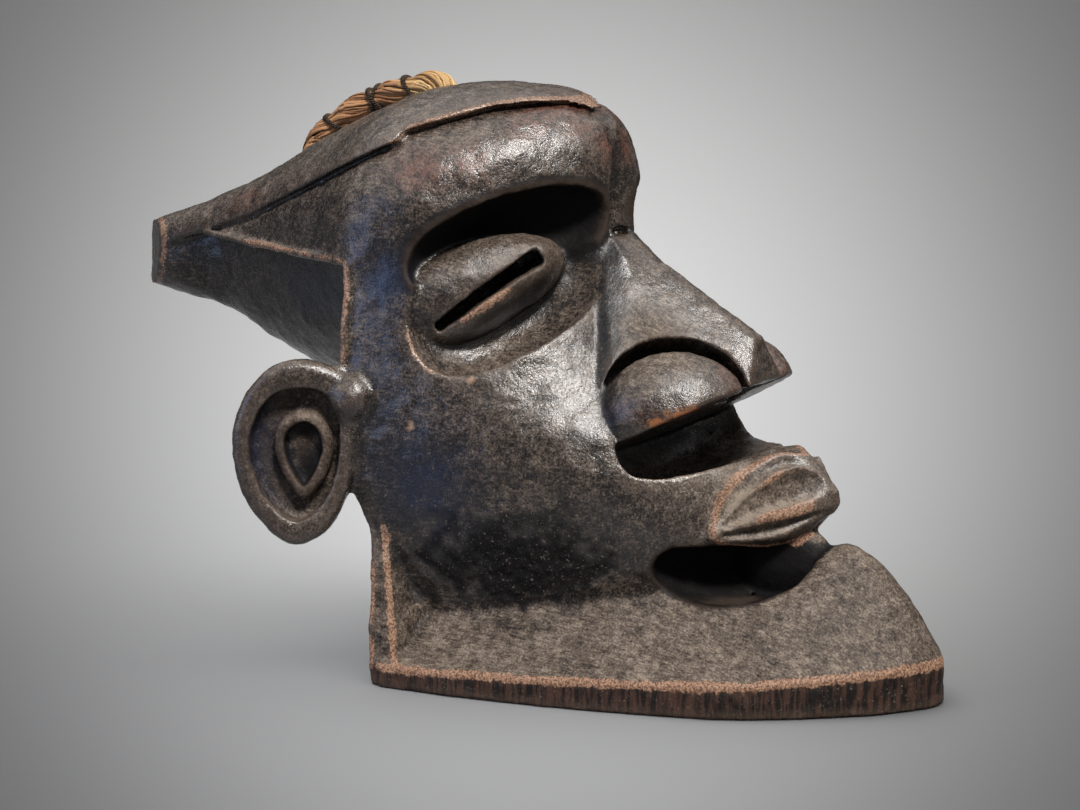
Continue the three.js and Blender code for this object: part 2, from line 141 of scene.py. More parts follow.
# Crest: its line in the middle plane, from the back to the front, as distance back and height. Its ends
# narrow over shares of that line, and each cord pinches it
CREST_ROUTE = [
    (156, 272), (151, 284), (144, 292.5), (128, 303.5), (105, 314), (83, 320), (66, 321), (57, 310),
]
CREST_RADIUS = 8.6
CREST_ENDS = ((-0.25, 0.12), (1.25, 0.9))
PINCH = {"share": 0.26, "long": 0.05}
# Fibres: their rings and size, the core they lie on, and how they wander, dip and swell along the crest
FIBRE = {
    "stations": 90, "sides": 6, "thick": 0.45, "wide": (0.7, 1.5), "depth": (0.72, 0.94), "core": 0.75,
    "wander": 0.035, "sway": 0.25, "sways": (5, 14), "dip": 0.05, "dips": (9, 25), "swell": 0.2, "swells": 30,
}
# Cords: where along the crest each one lies, and how far its two turns lean
BINDINGS = {
    "binding_cord_rear": (0.357, (0.45, 0.6)),
    "binding_cord_middle": (0.55, (-0.55, 0.5)),
    "binding_cord_front": (0.704, (0.5, 0.6)),
}
CORD = {"ply": 0.9, "gap": 0.6, "twists": 17, "spread": 0.62, "stations": 220, "sides": 8}

# The photographed view: camera direction and distance, its lens, and the point it looks at
VIEW = {
    "azimuth": -60, "elevation": 10, "distance": 1.6, "target": (0, -0.013, 0.142),
    "lens": 93.33, "sensor": 36, "reach": 200,
}
# Floor: half its width, its greys, and how far from the middle of the view the dark one is reached; the pale
# grey is a painted pool of light and the dark grey painted shade round it
FLOOR = {
    "half": 40, "dark": (0.11, 0.11, 0.11), "pale": (0.57, 0.57, 0.57), "dark_from": 0.27, "nearest": 0.5,
}
# Suns: where each shines from, how wide it looks in degrees, and its colour
SUNS = {
    "key": ((-0.4, -0.47, 0.79), 11, (1, 0.975, 0.94)),
    "sky": ((0, 0, 1), 120, (0.97, 0.98, 1)),
    "backdrop": ((0.25, 0.3, 1), 100, (1, 0.985, 0.965)),
}
FILL = {"at": (-1.3, 1.0, 0.45), "size": 0.7, "colour": (0.42, 0.58, 1)}
AMBIENT = (0.9, 0.95, 1, 1)

# Tones of the wood beside those in its settings
TONES = {
    "black": (0.006, 0.005, 0.005), "speck": (0.27, 0.225, 0.185), "edge": (0.13, 0.09, 0.065),
    "tan_dark": (0.12, 0.055, 0.033), "fresh": (0.34, 0.12, 0.04), "chip": (0.4, 0.25, 0.16),
    "sawn": (0.07, 0.055, 0.047), "rim_dark": (0.009, 0.007, 0.006), "rim": (0.075, 0.036, 0.025),
}
# Noises in the wood: size in mm, detail, roughness, stretch along the axes, and a shift
EVEN = (1, 1, 1)
NOISES = {
    "broad": (45, 3, 0.6, EVEN, 0), "patch": (14, 4, 0.65, EVEN, 3), "mottle": (5, 4, 0.7, EVEN, 7),
    "fine": (1.2, 3, 0.7, EVEN, 11), "speck": (1.4, 3, 0.7, EVEN, 23),
    "fibre": (1.0, 4, 0.7, (1, 8, 1.8), 17), "cuts": (2.6, 3, 0.6, (1, 1, 7), 29),
}
# The sum that makes the wood darker or paler: its start, and the levels over which it reaches each tone
LEVEL = -2.2
LEVEL_STEPS = {"dark": (0.15, 0.5), "brown": (0.42, 0.85), "dust": (0.75, 1.35)}

# Face: height, half width and how far forward
FACE_BACK = 64
FACE_ROUND = {"front": 0.92, "side": 0.95}
CHEEK_LEVELS = [
    (20, 80, -130), (45, 90, -140), (70, 98, -150), (95, 104, -156), (118, 107, -151), (135, 108, -139),
    (150, 108, -122), (163, 107, -103), (178, 105, -86), (195, 103, -73), (215, 100, -61), (240, 97, -51),
    (268, 92, -44),
]
# Hollow of the head: height, half width and how far forward
NAPE_EDGE = 172
HOLLOW_BACK = 90
HOLLOW_LEVELS = [
    (-20, 78, -118), (30, 79, -117), (62, 85, -112), (86, 90, -92), (110, 94, -62), (135, 94, -50),
    (160, 92, -42), (190, 84, -20), (215, 76, 0), (245, 66, 10),
]
CROWN_HOLLOW = {"front": 20, "back": 110, "closed_from": 90, "overlap": 65}

# Crown and horn: distance back, half width, top, height of the widest line, underside
CROWN_LEVELS = [
    (-53, 16, 284, 266, 240), (-50, 28, 293, 263, 232), (-43, 40, 306, 261, 222), (-29, 55, 315.5, 262, 192),
    (-10, 71, 318.5, 264, 175), (13, 86, 320, 254, 162), (40, 97, 320, 240, 162), (68, 98, 315, 229, 158),
    (100, 82, 303, 229, 149), (134, 66, 289, 231, 153), (172, 48, 270, 233, 166), (215, 33, 252, 231, 184),
    (248, 26, 242, 221, 191), (275, 20, 233, 214, 196),
]
CROWN_FULLNESS = 0.88
CROWN_SEAM = {"in": 0.5, "down": 1}
TEMPLE_STEP = 12
JAW_BACK = {"back": 64, "top": 115, "slope": 0.4, "from": 30, "to": 80}
TEMPLE_RIDGE = [
    (36, 208, 233), (55, 158, 231), (80, 112, 231), (97, 66, 231), (101, 64, 214), (104, 64, 195),
    (105, 64, 172),
]
RIDGE_RADIUS = 2.6
HORN_CUT = {"at": (-14, 263, 214), "facing": (-0.7, 0.71, 0.05)}
VALLEY = {"at": (0, -65, 264), "radii": (42, 11, 25), "along": (0, -0.3, 1), "facing": (0, -1, -0.25)}

# Cap: its lower edge as distance back and height
CAP_STEP = 5
CAP_TAIL = (205, 245)
CAP_NOTCH = {"back": 44, "rise": 5}
CAP_EDGE = [
    (-70, 284), (-54, 293), (-42, 303), (-34, 308), (-26, 311), (-12, 311.5), (3, 309.5), (44, 296),
    (82, 280), (121, 264), (166, 246), (216, 231), (236, 226), (290, 200),
]
CAP_FADE = {"over": (50, 200), "share": 0.7}
CAP_FRONT = {"over": (0, -34), "share": 0.6}
CAP_GROOVE = {"radius": 1.5, "drop": 1.2, "sink": 0.3, "fade": 3}

# Eyes. A rounded body has its radii along its length, across it and outwards
EYE = {"along": (-0.53, -0.64, 0.56), "facing": (0.76, -0.62, 0.12)}
SOCKET = {**EYE, "at": (66, -20, 222), "radii": (66, 40, 27), "along": (-0.6, -0.55, 0.58)}
BROW_HOLLOW = {**EYE, "at": (60, -17, 243), "radii": (60, 25, 27), "along": (-0.66, -0.71, 0.28)}
UPPER_LID = {**EYE, "at": (60, 4, 218), "radii": (50, 24, 21), "along": (-0.59, -0.73, 0.34)}
BEAN = {**EYE, "at": (58, 0, 214), "radii": (46, 20, 22)}
SLIT = {"half": 34.5, "rise": 0.5, "bow": 1.5, "radius": 3.6, "taper": 0.2, "corner": 1.5, "deep": 35}
ROOT_HOLE = {"at": (9, -46, 244), "radii": (2.2, 2.2, 5), "along": (1, 0, 0), "facing": (0.86, -0.5, 0.08)}

# Nose
NOSE_STEPS = 12
NOSE_FLANK = (3, -4, 2)
NOSE_SHOULDER = {"share": 0.9, "out": (0.065, -0.06, 0.01)}
NOSE_WALL = (-6, 24, -8)
NOSE_ROOT = {"ridge": (4, -54, 243), "crease": (16, -46, 241)}
NOSE_END = {"ridge": (5, -138, 192), "crease": (65, -71, 162)}
NOSE_TIP = {"ridge": (20, -143, 167), "crease": (66, -76, 145)}
NOSTRIL_LIE = {"along": (-0.47, -0.86, 0.1), "facing": (0.8, -0.45, 0.3)}
NOSTRIL = {"at": (42, -107, 155), "radii": (40, 32, 26), **NOSTRIL_LIE}
ARCH = {"at": (41.5, -108, 157), "radii": (40.5, 38, 30), **NOSTRIL_LIE}
UNDER_NOSE = {"along": (1, 0, 0), "facing": (0, 0.52, 1)}
RECESS = {"at": (0, -116, 144.5), "radii": (77, 60, 25.5), "boxy": 2.6, **UNDER_NOSE}
RECESS_CEILING = 7.5
NOSTRIL_HOLE = {"at": (21, -108, 150), "radii": (9, 7, 13), **UNDER_NOSE}

# Lips: two upright plates that meet in a prow
LIPS = {"half": 52, "prow": -189, "sweep": 53, "round": 1.15, "shown": 0.985, "sections": 121, "steps": 200}
# Share of the half width, then the heights of the upper rim, the ridge inside it, the top and foot of the
# bar between the lips, the lower band and the lower rim
LIP_LINES = [
    (0, 131, 117, 113, 104, 99, 94), (0.12, 132, 122, 112.5, 102, 98, 86.5),
    (0.25, 132.5, 127, 110, 100, 95.5, 82.5), (0.4, 128.5, 125, 107, 98, 91, 81),
    (0.55, 122.5, 119, 104.5, 95.8, 88.3, 81), (0.7, 116.5, 111, 100.7, 94, 88, 82),
    (0.85, 108, 100, 96, 92.5, 88.5, 84), (1, 90.7, 90.4, 90, 89.7, 89.3, 88),
]
LIP_SETBACK = (22, 7.5, 3, 1, 3.5, 13)
# Points down the face of the lips: between which two lines, at what share, and how deep
LIP_SECTION = [
    (0, 0, 0, 0), (0, 1, 0.25, 0.5), (0, 1, 0.6, 6), (0, 1, 0.8, 5), (1, 1, 0, 0), (1, 2, 0.14, 0.5),
    (1, 2, 0.34, 5.5), (1, 2, 0.85, 6.5), (2, 2, 0, 2.5), (2, 3, 0.25, -0.8), (2, 3, 0.75, -0.8),
    (3, 3, 0, 0.5), (3, 4, 0.3, 5.5), (3, 4, 0.75, 5.5), (4, 4, 0, 0), (4, 5, 0.35, -0.6), (5, 5, 0, 0),
]
# The hollows of that section lean down on the upper lip, and fade at the corners and the prow
LIP_TILT = {"upper": 0.6, "lower": 0.1}
LIP_CARVED = {"corner": (0.85, 0.97), "prow": (0.08, 0.2)}
# Points behind the lips: from which line, how far back and how far up
LIP_BACK = [(5, 14, 2), (4, 46, 0), (1, 44, -14), (0, 22, -5)]
KEEL = {"at": (0, -152, 68), "radii": (15, 34, 26), "along": (1, 0, 0), "facing": (0, 0, 1)}
UNDER_LIP = {
    "at": (31, -142, 70), "radii": (50, 20, 24), "along": (-0.77, -0.64, 0), "facing": (0.62, -0.75, 0),
}
UNDER_LIP_CEILING = 13
# Heights below which the keel under the lips takes painted shade
KEEL_SHADE_HEIGHTS = (84, 80)

# Flange: rim and seam with the jaw, as half width, distance back and height
FLANGE_RIM = [
    (0, -249, 24), (26, -235, 23), (46, -216, 22), (81, -168, 19), (98, -118, 17), (112, -55, 15),
    (119, 0, 13), (121, 34, 12),
]
FLANGE_SEAM = [
    (0, -146, 66), (22, -142, 60), (42, -128, 58), (58, -104, 57), (70, -74, 54), (78, -40, 49), (80, 0, 44),
    (80, 34, 42),
]
FLANGE_THICK = 15
FLANGE_FOOT = 22
FLANGE_BEND = 0.4
FLANGE_BULGE = {"front": 37, "side": -3, "reach": 40}
FLANGE_STEPS = 112
FLANGE_TOP = np.linspace(0.06, 0.94, 13)
FIN_FRONT = [(119, 22, 0), (118, 24, 13), (100, 41, 85), (86, 42, 92), (74, 12, 40), (74, 12, 0)]
FIN_REAR = [(119, 40, 0), (119, 42, 13), (102, 50, 85), (86, 52, 92), (74, 46, 40), (74, 46, 0)]

# Ear: outline across and up from its middle
EAR = {"at": (119, 86, 126), "facing": (0.89, -0.45, 0.03)}
EAR_THICK = 17
EAR_ROUND = 5.5
EAR_REACH = 68
EAR_STEPS = 6
EAR_BOWL = {"scale": 0.7, "deep": 12, "edge": 3}
EAR_OUTLINE = [
    (-30, 40), (-12, 51), (12, 49), (30, 30), (36, 2), (28, -28), (6, -51), (-14, -46), (-28, -24), (-34, 6),
]
WHORL = {"at": (-4, -1), "radii": (13, 20), "swell": 1.15, "point": 0.8, "rim": 5.2, "high": 9, "points": 48}
WHORL_PIT = {"in": 2, "deep": 0.68, "edge": 2}
TRAGUS = {"at": (106, 57, 157), "radii": (13, 13, 13), "along": (1, 0, 0), "facing": (0, 0, 1)}


def unit(values):
    """A direction of length 1."""
    values = np.array(values, float)
    return values / np.linalg.norm(values)


def axes_of(along, facing):
    """Rows: the direction of the length, the one across it, and the one that faces outwards."""
    length = unit(along)
    up = unit(np.cross(facing, length))
    return np.array([length, up, np.cross(length, up)])


def power(values, exponent):
    """A power that keeps the sign, for rounded box sections."""
    return np.sign(values) * np.abs(values) ** exponent


def smoothstep(low, high, values):
    """0 below low, 1 above high, and a smooth rise between them."""
    t = np.clip((values - low) / (high - low), 0, 1)
    return t * t * (3 - 2 * t)


def smooth_rows(rows, count):
    """A table of levels, run through smoothly (Catmull-Rom) and sampled count + 1 times."""
    rows = np.array(rows, float)
    last = len(rows) - 1
    place = np.linspace(0, last, count + 1)
    at = np.minimum(place.astype(int), last - 1)
    t = (place - at)[:, None]
    before, here, there, after = (rows[np.clip(at + step, 0, last)] for step in (-1, 0, 1, 2))
    v0, v1 = (there - before) / 2, (after - here) / 2
    cube, square = 2 * here - 2 * there + v0 + v1, 3 * there - 3 * here - 2 * v0 - v1
    return cube * t**3 + square * t**2 + v0 * t + here


def smaller(a, b, blend):
    """The smaller of two distances, with a fillet about blend mm wide where they meet."""
    h = np.clip(0.5 + 0.5 * (b - a) / blend, 0, 1)
    return b + (a - b) * h - blend * h * (1 - h)


def in_axes(place, at, turn):
    """Coordinates of a place from a middle point, along the directions given."""
    away = [a - b for a, b in zip(place, at)]
    return [sum(c * q for c, q in zip(row, away)) for row in turn]


def ellipsoid(form):
    """Distance from a rounded body that has its radii along its own axes."""
    turn = axes_of(form["along"], form["facing"])
    boxy = form.get("boxy", 2)

    def distance(x, y, z):
        local = [q / r for q, r in zip(in_axes((x, y, z), form["at"], turn), form["radii"])]
        reach = sum(np.abs(q) ** boxy for q in local) ** (1 / boxy) + 1e-6
        slope = np.sqrt(sum((np.abs(q) ** (boxy - 1) / r) ** 2 for q, r in zip(local, form["radii"])))
        return (reach - 1) / (slope / reach ** (boxy - 1) + 1e-6)

    reach = np.abs(turn.T) @ np.array(form["radii"]) + FAR
    return np.array(form["at"]) - reach, np.array(form["at"]) + reach, distance


class Block:
    """Distances to the surface of the wood on a grid, over one half of it, x from 0."""

    def __init__(self, pitch):
        self.pitch = pitch
        low, high = (np.array(corner) / pitch for corner in BLOCK)
        self.first = np.floor(low).astype(int)
        self.shape = np.ceil(high).astype(int) - self.first + 1
        self.wood = np.full(self.shape, FAR, np.float32)

    def window(self, low, high):
        """Slices of the grid for a box in mm."""
        start = np.clip(np.floor(np.array(low) / self.pitch).astype(int) - self.first, 0, self.shape)
        end = np.clip(np.ceil(np.array(high) / self.pitch).astype(int) - self.first + 1, 0, self.shape)
        return tuple(slice(a, b) for a, b in zip(start, end))

    def places(self, where):
        """Places in mm of the points in such slices, along each axis."""
        steps = [np.arange(s.start, s.stop) + first for s, first in zip(where, self.first)]
        return np.ix_(*[(step * self.pitch).astype(np.float32) for step in steps])

    def shaped(self, form):
        """A form given as its box and a function of x, y and z."""
        low, high, distance = form
        where = self.window(low, high)
        return where, np.clip(distance(*self.places(where)), -FAR, FAR).astype(np.float32)

    def lofted(self, rings):
        """A closed body that runs through rings of points, each with a flat or slightly domed end."""
        rings = np.array(rings, float)
        count, around = rings.shape[:2]
        points = np.vstack([rings.reshape(-1, 3), rings[0].mean(axis=0), rings[-1].mean(axis=0)])
        i, k = np.meshgrid(np.arange(count - 1), np.arange(around), indexing="ij")
        a, b = i * around + k, i * around + (k + 1) % around
        quads = np.stack([a, b, b + around, a + around], axis=-1).reshape(-1, 4)
        k = np.arange(around)
        on = (k + 1) % around
        last = (count - 1) * around
        start = np.column_stack([on, k, np.full(around, count * around)])
        end = np.column_stack([last + k, last + on, np.full(around, count * around + 1)])
        grid = vdb.FloatGrid.createLevelSetFromPolygons(
            points.astype(np.float32),
            triangles=np.vstack([start, end]).astype(np.uint32),
            quads=quads.astype(np.uint32),
            transform=vdb.createLinearTransform(voxelSize=self.pitch),
            halfWidth=FAR / self.pitch,
        )
        where = self.window(points.min(axis=0) - FAR, points.max(axis=0) + FAR)
        values = np.empty([s.stop - s.start for s in where], np.float32)
        grid.copyToArray(values, ijk=[int(s.start + f) for s, f in zip(where, self.first)])
        return where, values

    def add(self, piece, fillet=0.5):
        """Joins a piece on, given as slices and distances."""
        where, values = piece
        self.wood[where] = smaller(self.wood[where], values, fillet)

    def cut(self, piece, fillet=0.5):
        """Takes a piece away."""
        where, values = piece
        self.wood[where] = -smaller(-self.wood[where], values, fillet)

    def work(self, steps):
        """Adds or cuts forms one after another, each with the fillet in mm where it meets the wood."""
        for change, form, fillet in steps:
            change(self.shaped(form), fillet)


def face_block(levels, back, steps=60, arc=120):
    """Rings of the upright D-shaped block, round in front and flat behind."""
    turn = np.linspace(-0.5, 0.5, arc + 1) * math.pi
    return [
        np.column_stack([
            half * power(np.sin(turn), FACE_ROUND["side"]),
            back - (back - front) * power(np.cos(turn).clip(0), FACE_ROUND["front"]),
            np.full(arc + 1, z),
        ])
        for z, half, front in smooth_rows(levels, steps)
    ]


def cap_thickness(y):
    """Share of the cap's full height above the crown, from the front to the horn."""
    front = 1 - CAP_FRONT["share"] * smoothstep(*CAP_FRONT["over"], y)
    return front * (1 - CAP_FADE["share"] * smoothstep(*CAP_FADE["over"], y)) * (1 - smoothstep(*CAP_TAIL, y))


def crown_block(grow, levels=CROWN_LEVELS, steps=120, around=72):
    """Rings of the crown and horn; grow thickens them for the cap, or makes the hollow inside."""
    turn = np.linspace(0, math.pi, around + 1)
    rings = []
    for y, half, top, widest, low in smooth_rows(levels, steps):
        before_tail = 1 - smoothstep(*CAP_TAIL, y)
        temple = smoothstep(FACE_BACK, FACE_BACK + TEMPLE_STEP, y)
        step = TEMPLE_STEP * temple * before_tail + CROWN_SEAM["in"]
        thick = grow * cap_thickness(y) if grow > 0 else grow
        across = power(np.cos(turn), CROWN_FULLNESS)
        rise = power(np.sin(turn), CROWN_FULLNESS)
        x = np.concatenate([(half + thick) * across, -(half + thick - step) * across])
        upper = widest + (top - widest + thick) * rise
        lower = widest - CROWN_SEAM["down"] - (widest - low + thick) * rise
        z = np.concatenate([upper, lower])
        rings.append(np.column_stack([x, np.full_like(x, y), z]))
    return rings


def over_cap_edge(y, z):
    """Height over the cap's lower edge, which steps up in front of the notch."""
    back, rise = CAP_NOTCH["back"], CAP_NOTCH["rise"]
    edge = np.interp(y, *zip(*CAP_EDGE)) + rise * (1 - smoothstep(back - 1, back + 1, y))
    return z - edge


def eye_slit():
    """The slit through the lids: a bent slot, wider towards the nose."""
    turn = axes_of(**EYE)
    half, corner = SLIT["half"], SLIT["corner"]

    def distance(x, y, z):
        along, down, out = in_axes((x, y, z), BEAN["at"], turn)
        share = along / half
        far = np.abs(along) - half + corner
        radius = SLIT["radius"] * (1 + SLIT["taper"] * share)
        across = np.abs(down + SLIT["rise"] + SLIT["bow"] * (1 - share**2)) - radius + corner
        return np.maximum(np.hypot(far.clip(0), across.clip(0)) - corner, np.abs(out) - SLIT["deep"])

    reach = BEAN["radii"][0] + FAR
    return np.array(BEAN["at"]) - reach, np.array(BEAN["at"]) + reach, distance


def ceiled(form, ceiling, up=(0, 0, 1)):
    """A hollow that is round below and has a flat ceiling, so far over its middle."""
    low, high, bowl = ellipsoid(form)

    def distance(x, y, z):
        height = in_axes((x, y, z), form["at"], [unit(up)])[0]
        return np.maximum(bowl(x, y, z), height - ceiling)

    return low, high, distance


def under_lip():
    """The hollow under the lips."""
    return ceiled(UNDER_LIP, UNDER_LIP_CEILING)


def under_nose():
    """The hollow between the nose and the mouth."""
    return ceiled(RECESS, RECESS_CEILING, UNDER_NOSE["facing"])


def nose_rings():
    """Pyramid of the nose from the root to the tip, with a narrow ridge and two creases."""
    marks = [NOSE_ROOT, NOSE_END, NOSE_TIP]
    rings = []
    for mark, following in zip(marks, marks[1:]):
        for t in np.linspace(0, 1, NOSE_STEPS):
            ridge, crease = (
                (1 - t) * np.array(mark[line]) + t * np.array(following[line]) for line in ("ridge", "crease")
            )
            share, wide = NOSE_SHOULDER["share"], np.linalg.norm(crease - ridge)
            shoulder = (1 - share) * ridge + share * crease + wide * np.array(NOSE_SHOULDER["out"])
            half = [ridge, (ridge + crease) / 2 + NOSE_FLANK, shoulder, crease, crease + NOSE_WALL]
            rings.append(half + [p * (-1, 1, 1) for p in half[::-1]])
    return rings


def mouth_rings():
    """Upright sections across the lips, each down the front from the upper rim to the lower one."""
    rings = []
    lines = smooth_rows(LIP_LINES, LIPS["steps"])
    for across in np.linspace(-LIPS["shown"], LIPS["shown"], LIPS["sections"]):
        t = abs(across)
        plate = LIPS["prow"] + LIPS["sweep"] * t ** LIPS["round"]
        z = np.array([np.interp(t, lines[:, 0], lines[:, i]) for i in range(1, 7)])
        y = plate + np.array(LIP_SETBACK) * (1 - t**3)
        shown = (1 - smoothstep(*LIP_CARVED["corner"], t)) * smoothstep(*LIP_CARVED["prow"], t)
        face = []
        for above, below, share, deep in LIP_SECTION:
            tilt = LIP_TILT["upper" if below < 3 else "lower"]
            drop = deep * (shown if deep > 0 else 1)
            face.append((
                (1 - share) * y[above] + share * y[below] + drop * math.cos(tilt),
                (1 - share) * z[above] + share * z[below] - drop * math.sin(tilt),
            ))
        behind = [(y[line] + back, z[line] + rise) for line, back, rise in LIP_BACK]
        section = np.array(face + behind)
        rings.append(np.column_stack([np.full(len(section), LIPS["half"] * across), section]))
    return rings


def flange_rings():
    """One section of the beard flange, carried from the right rear round the tip to the left rear."""
    both = [[(-x, y, z) for x, y, z in reversed(rows[1:])] + rows for rows in (FLANGE_RIM, FLANGE_SEAM)]
    rises = np.where(FLANGE_TOP < 0.5, 4 * FLANGE_TOP * (1 - FLANGE_TOP), smoothstep(1, 0.5, FLANGE_TOP))
    rings = []
    for edge, root in zip(*(smooth_rows(rows, FLANGE_STEPS) for rows in both)):
        inward = unit((root - edge) * (1, 1, 0))
        in_front = math.exp(-((edge[0] / FLANGE_BULGE["reach"]) ** 2))
        swell = FLANGE_BULGE["side"] + (FLANGE_BULGE["front"] - FLANGE_BULGE["side"]) * in_front
        top = [edge + (root - edge) * t + (0, 0, swell * rise) for t, rise in zip(FLANGE_TOP, rises)]
        foot, deep = edge + inward * FLANGE_FOOT, root + inward * FLANGE_THICK
        foot[2] = 0
        bend = (deep + foot) / 2
        bend[2] = root[2] * FLANGE_BEND
        rings.append([edge * (1, 1, 0), edge, *top, root, deep, bend, foot])
    return rings


def to_outline(points, a, b):
    """Signed distance in a plane from a closed outline, less than 0 inside."""
    best = np.full(np.broadcast(a, b).shape, 1e9, np.float32)
    inside = np.zeros(best.shape, bool)
    for (a0, b0), (a1, b1) in zip(points, np.roll(points, -1, axis=0)):
        da, db = a1 - a0, b1 - b0
        t = np.clip(((a - a0) * da + (b - b0) * db) / (da * da + db * db), 0, 1)
        best = np.minimum(best, (a - a0 - t * da) ** 2 + (b - b0 - t * db) ** 2)
        inside ^= ((b0 > b) != (b1 > b)) & (a < da * (b - b0) / (db or 1e-9) + a0)
    return np.where(inside, -1, 1) * np.sqrt(best)


def rounded(flat, thick, radius):
    """A flat form of that thickness with its edges rounded."""
    edge, face = flat + radius, thick + radius
    return np.minimum(np.maximum(edge, face), 0) + np.hypot(edge.clip(0), face.clip(0)) - radius


def ear_piece(kind):
    """Part of the ear in its own plane: its plate, the bowl in that, the pointed whorl or the whorl's pit."""
    out = unit(EAR["facing"])
    turn = axes_of(np.cross((0, 0, 1), out), out)
    rows = EAR_OUTLINE + EAR_OUTLINE[:3]
    outline = smooth_rows(rows, EAR_STEPS * (len(rows) - 1))[EAR_STEPS:-EAR_STEPS - 1]
    t = np.linspace(0, 2 * math.pi, WHORL["points"], endpoint=False)
    wide, high = WHORL["radii"]
    across = wide * np.sin(t) * np.sin(t / 2) ** WHORL["point"] * WHORL["swell"]
    drop = np.column_stack([across, -high * np.cos(t)]) + WHORL["at"]
    top = EAR_THICK / 2

    def distance(x, y, z):
        across, up, outward = in_axes((x, y, z), EAR["at"], turn)
        if kind == "plate":
            return rounded(to_outline(outline, across, up), np.abs(outward) - top, EAR_ROUND)
        if kind == "bowl":
            flat = to_outline(outline * EAR_BOWL["scale"], across, up)
            return rounded(flat, top - EAR_BOWL["deep"] - outward, EAR_BOWL["edge"])
        flat = to_outline(drop, across, up)
        if kind == "whorl":
            return np.hypot(flat, outward - (WHORL["high"] - top)) - WHORL["rim"]
        floor = top - EAR_THICK * WHORL_PIT["deep"]
        return rounded(flat + WHORL_PIT["in"], floor - outward, WHORL_PIT["edge"])

    return np.array(EAR["at"]) - EAR_REACH, np.array(EAR["at"]) + EAR_REACH, distance


def nape_wood():
    """What stays solid behind the hollow of the head, over the nape's edge."""

    def distance(x, y, z):
        return FACE_BACK - WALL / 2 - y + 0 * (x + z)

    return (0, 0, NAPE_EDGE), BLOCK[1], distance


def bead(line, radius):
    """A round bead along a line of points."""
    line = np.array(line, float)

    def distance(x, y, z):
        best = FAR
        for start, end in zip(line, line[1:]):
            p = [v - c for v, c in zip((x, y, z), start)]
            run = end - start
            t = np.clip(sum(a * c for a, c in zip(p, run)) / (run @ run), 0, 1)
            best = np.minimum(best, np.sqrt(sum((a - t * c) ** 2 for a, c in zip(p, run))) - radius)
        return best

    return line.min(axis=0) - FAR, line.max(axis=0) + FAR, distance


def jaw_back():
    """What leans over the back edge of the jaw, which slopes in towards its foot."""
    back, top, slope = (JAW_BACK[k] for k in ("back", "top", "slope"))

    def distance(x, y, z):
        beyond = (back - slope * (top - z) - y) / math.hypot(1, slope)
        return np.maximum(beyond, z - top) + 0 * x

    return (0, JAW_BACK["from"], 0), (BLOCK[1][0], JAW_BACK["to"], top + FAR), distance


def lay_cap(block):
    """The cap: the crown again, a little thicker over its edge, with a groove along that edge."""
    where, grown = block.lofted(crown_block(CAP_STEP))
    _, y, z = block.places(where)
    over = over_cap_edge(y, z)
    block.add((where, np.maximum(grown, -over).astype(np.float32)), fillet=1)
    level = grown + CAP_STEP * cap_thickness(y) + CAP_GROOVE["sink"]
    groove = np.hypot(over + CAP_GROOVE["drop"], level) - CAP_GROOVE["radius"]
    groove += CAP_GROOVE["fade"] * smoothstep(*CAP_TAIL, y)
    block.cut((where, np.clip(groove, -FAR, FAR).astype(np.float32)), fillet=0.8)


def head_hollow(pitch):
    """The hollow for the wearer's head and jaw, open below, and the one in the crown over it."""
    hollow = Block(pitch)
    hollow.add(hollow.lofted(face_block(HOLLOW_LEVELS, HOLLOW_BACK)))
    hollow.cut(hollow.shaped(nape_wood()))
    inside = []
    for y, half, top, widest, _ in CROWN_LEVELS:
        if CROWN_HOLLOW["front"] < y < CROWN_HOLLOW["back"]:
            open_below = y < CROWN_HOLLOW["closed_from"]
            foot = NAPE_EDGE - CROWN_HOLLOW["overlap"] if open_below else NAPE_EDGE + WALL
            inside.append((y, half, top, widest, foot))
    hollow.add(hollow.lofted(crown_block(-WALL, inside, steps=40)), fillet=3)
    return slice(None), hollow.wood


def carve(pitch):
    """The mask's wood on a grid over one half, as carved from its block."""
    block, nose = Block(pitch), Block(pitch)
    add, cut = block.add, block.cut
    add(block.lofted(face_block(CHEEK_LEVELS, FACE_BACK)))
    add(block.lofted(crown_block(0)), fillet=2.5)
    block.work([
        (add, bead(TEMPLE_RIDGE, RIDGE_RADIUS), 2), (cut, ellipsoid(VALLEY), 7),
        (cut, ellipsoid(SOCKET), 2.5), (cut, ellipsoid(BROW_HOLLOW), 1), (add, ellipsoid(UPPER_LID), 4),
        (add, ellipsoid(BEAN), 1), (cut, jaw_back(), 2),
    ])
    nose.add(nose.lofted(nose_rings()))
    add((slice(None), nose.wood), fillet=1)
    block.work([
        (cut, ellipsoid(ARCH), 1.5), (add, ellipsoid(NOSTRIL), 0.5), (cut, under_nose(), 1.2),
        (cut, ellipsoid(NOSTRIL_HOLE), 1.5),
    ])
    add(block.lofted(flange_rings()), fillet=3)
    block.work([(cut, under_lip(), 1), (add, ellipsoid(KEEL), 2)])
    add(block.lofted(mouth_rings()), fillet=2)
    add(block.lofted([FIN_REAR, FIN_FRONT]), fillet=2)
    block.work([
        (add, ear_piece("plate"), 4), (cut, ear_piece("bowl"), 2), (add, ear_piece("whorl"), 1.5),
        (cut, ear_piece("pit"), 1), (add, ellipsoid(TRAGUS), 3),
    ])
    lay_cap(block)
    cut(head_hollow(pitch), fillet=1.5)
    block.work([(cut, eye_slit(), 0.8), (cut, ellipsoid(ROOT_HOLE), 0.5)])
    return block


def soften(values, times):
    """Rounds a grid by averaging each point with its neighbours; the first face is the mirror."""
    for _ in range(times):
        for axis in range(3):
            values = np.moveaxis(values, axis, 0)
            before = np.concatenate([values[1:2] if axis == 0 else values[:1], values[:-1]])
            after = np.concatenate([values[1:], values[-1:]])
            values = np.moveaxis(0.5 * values + 0.25 * (before + after), 0, axis)
    return values


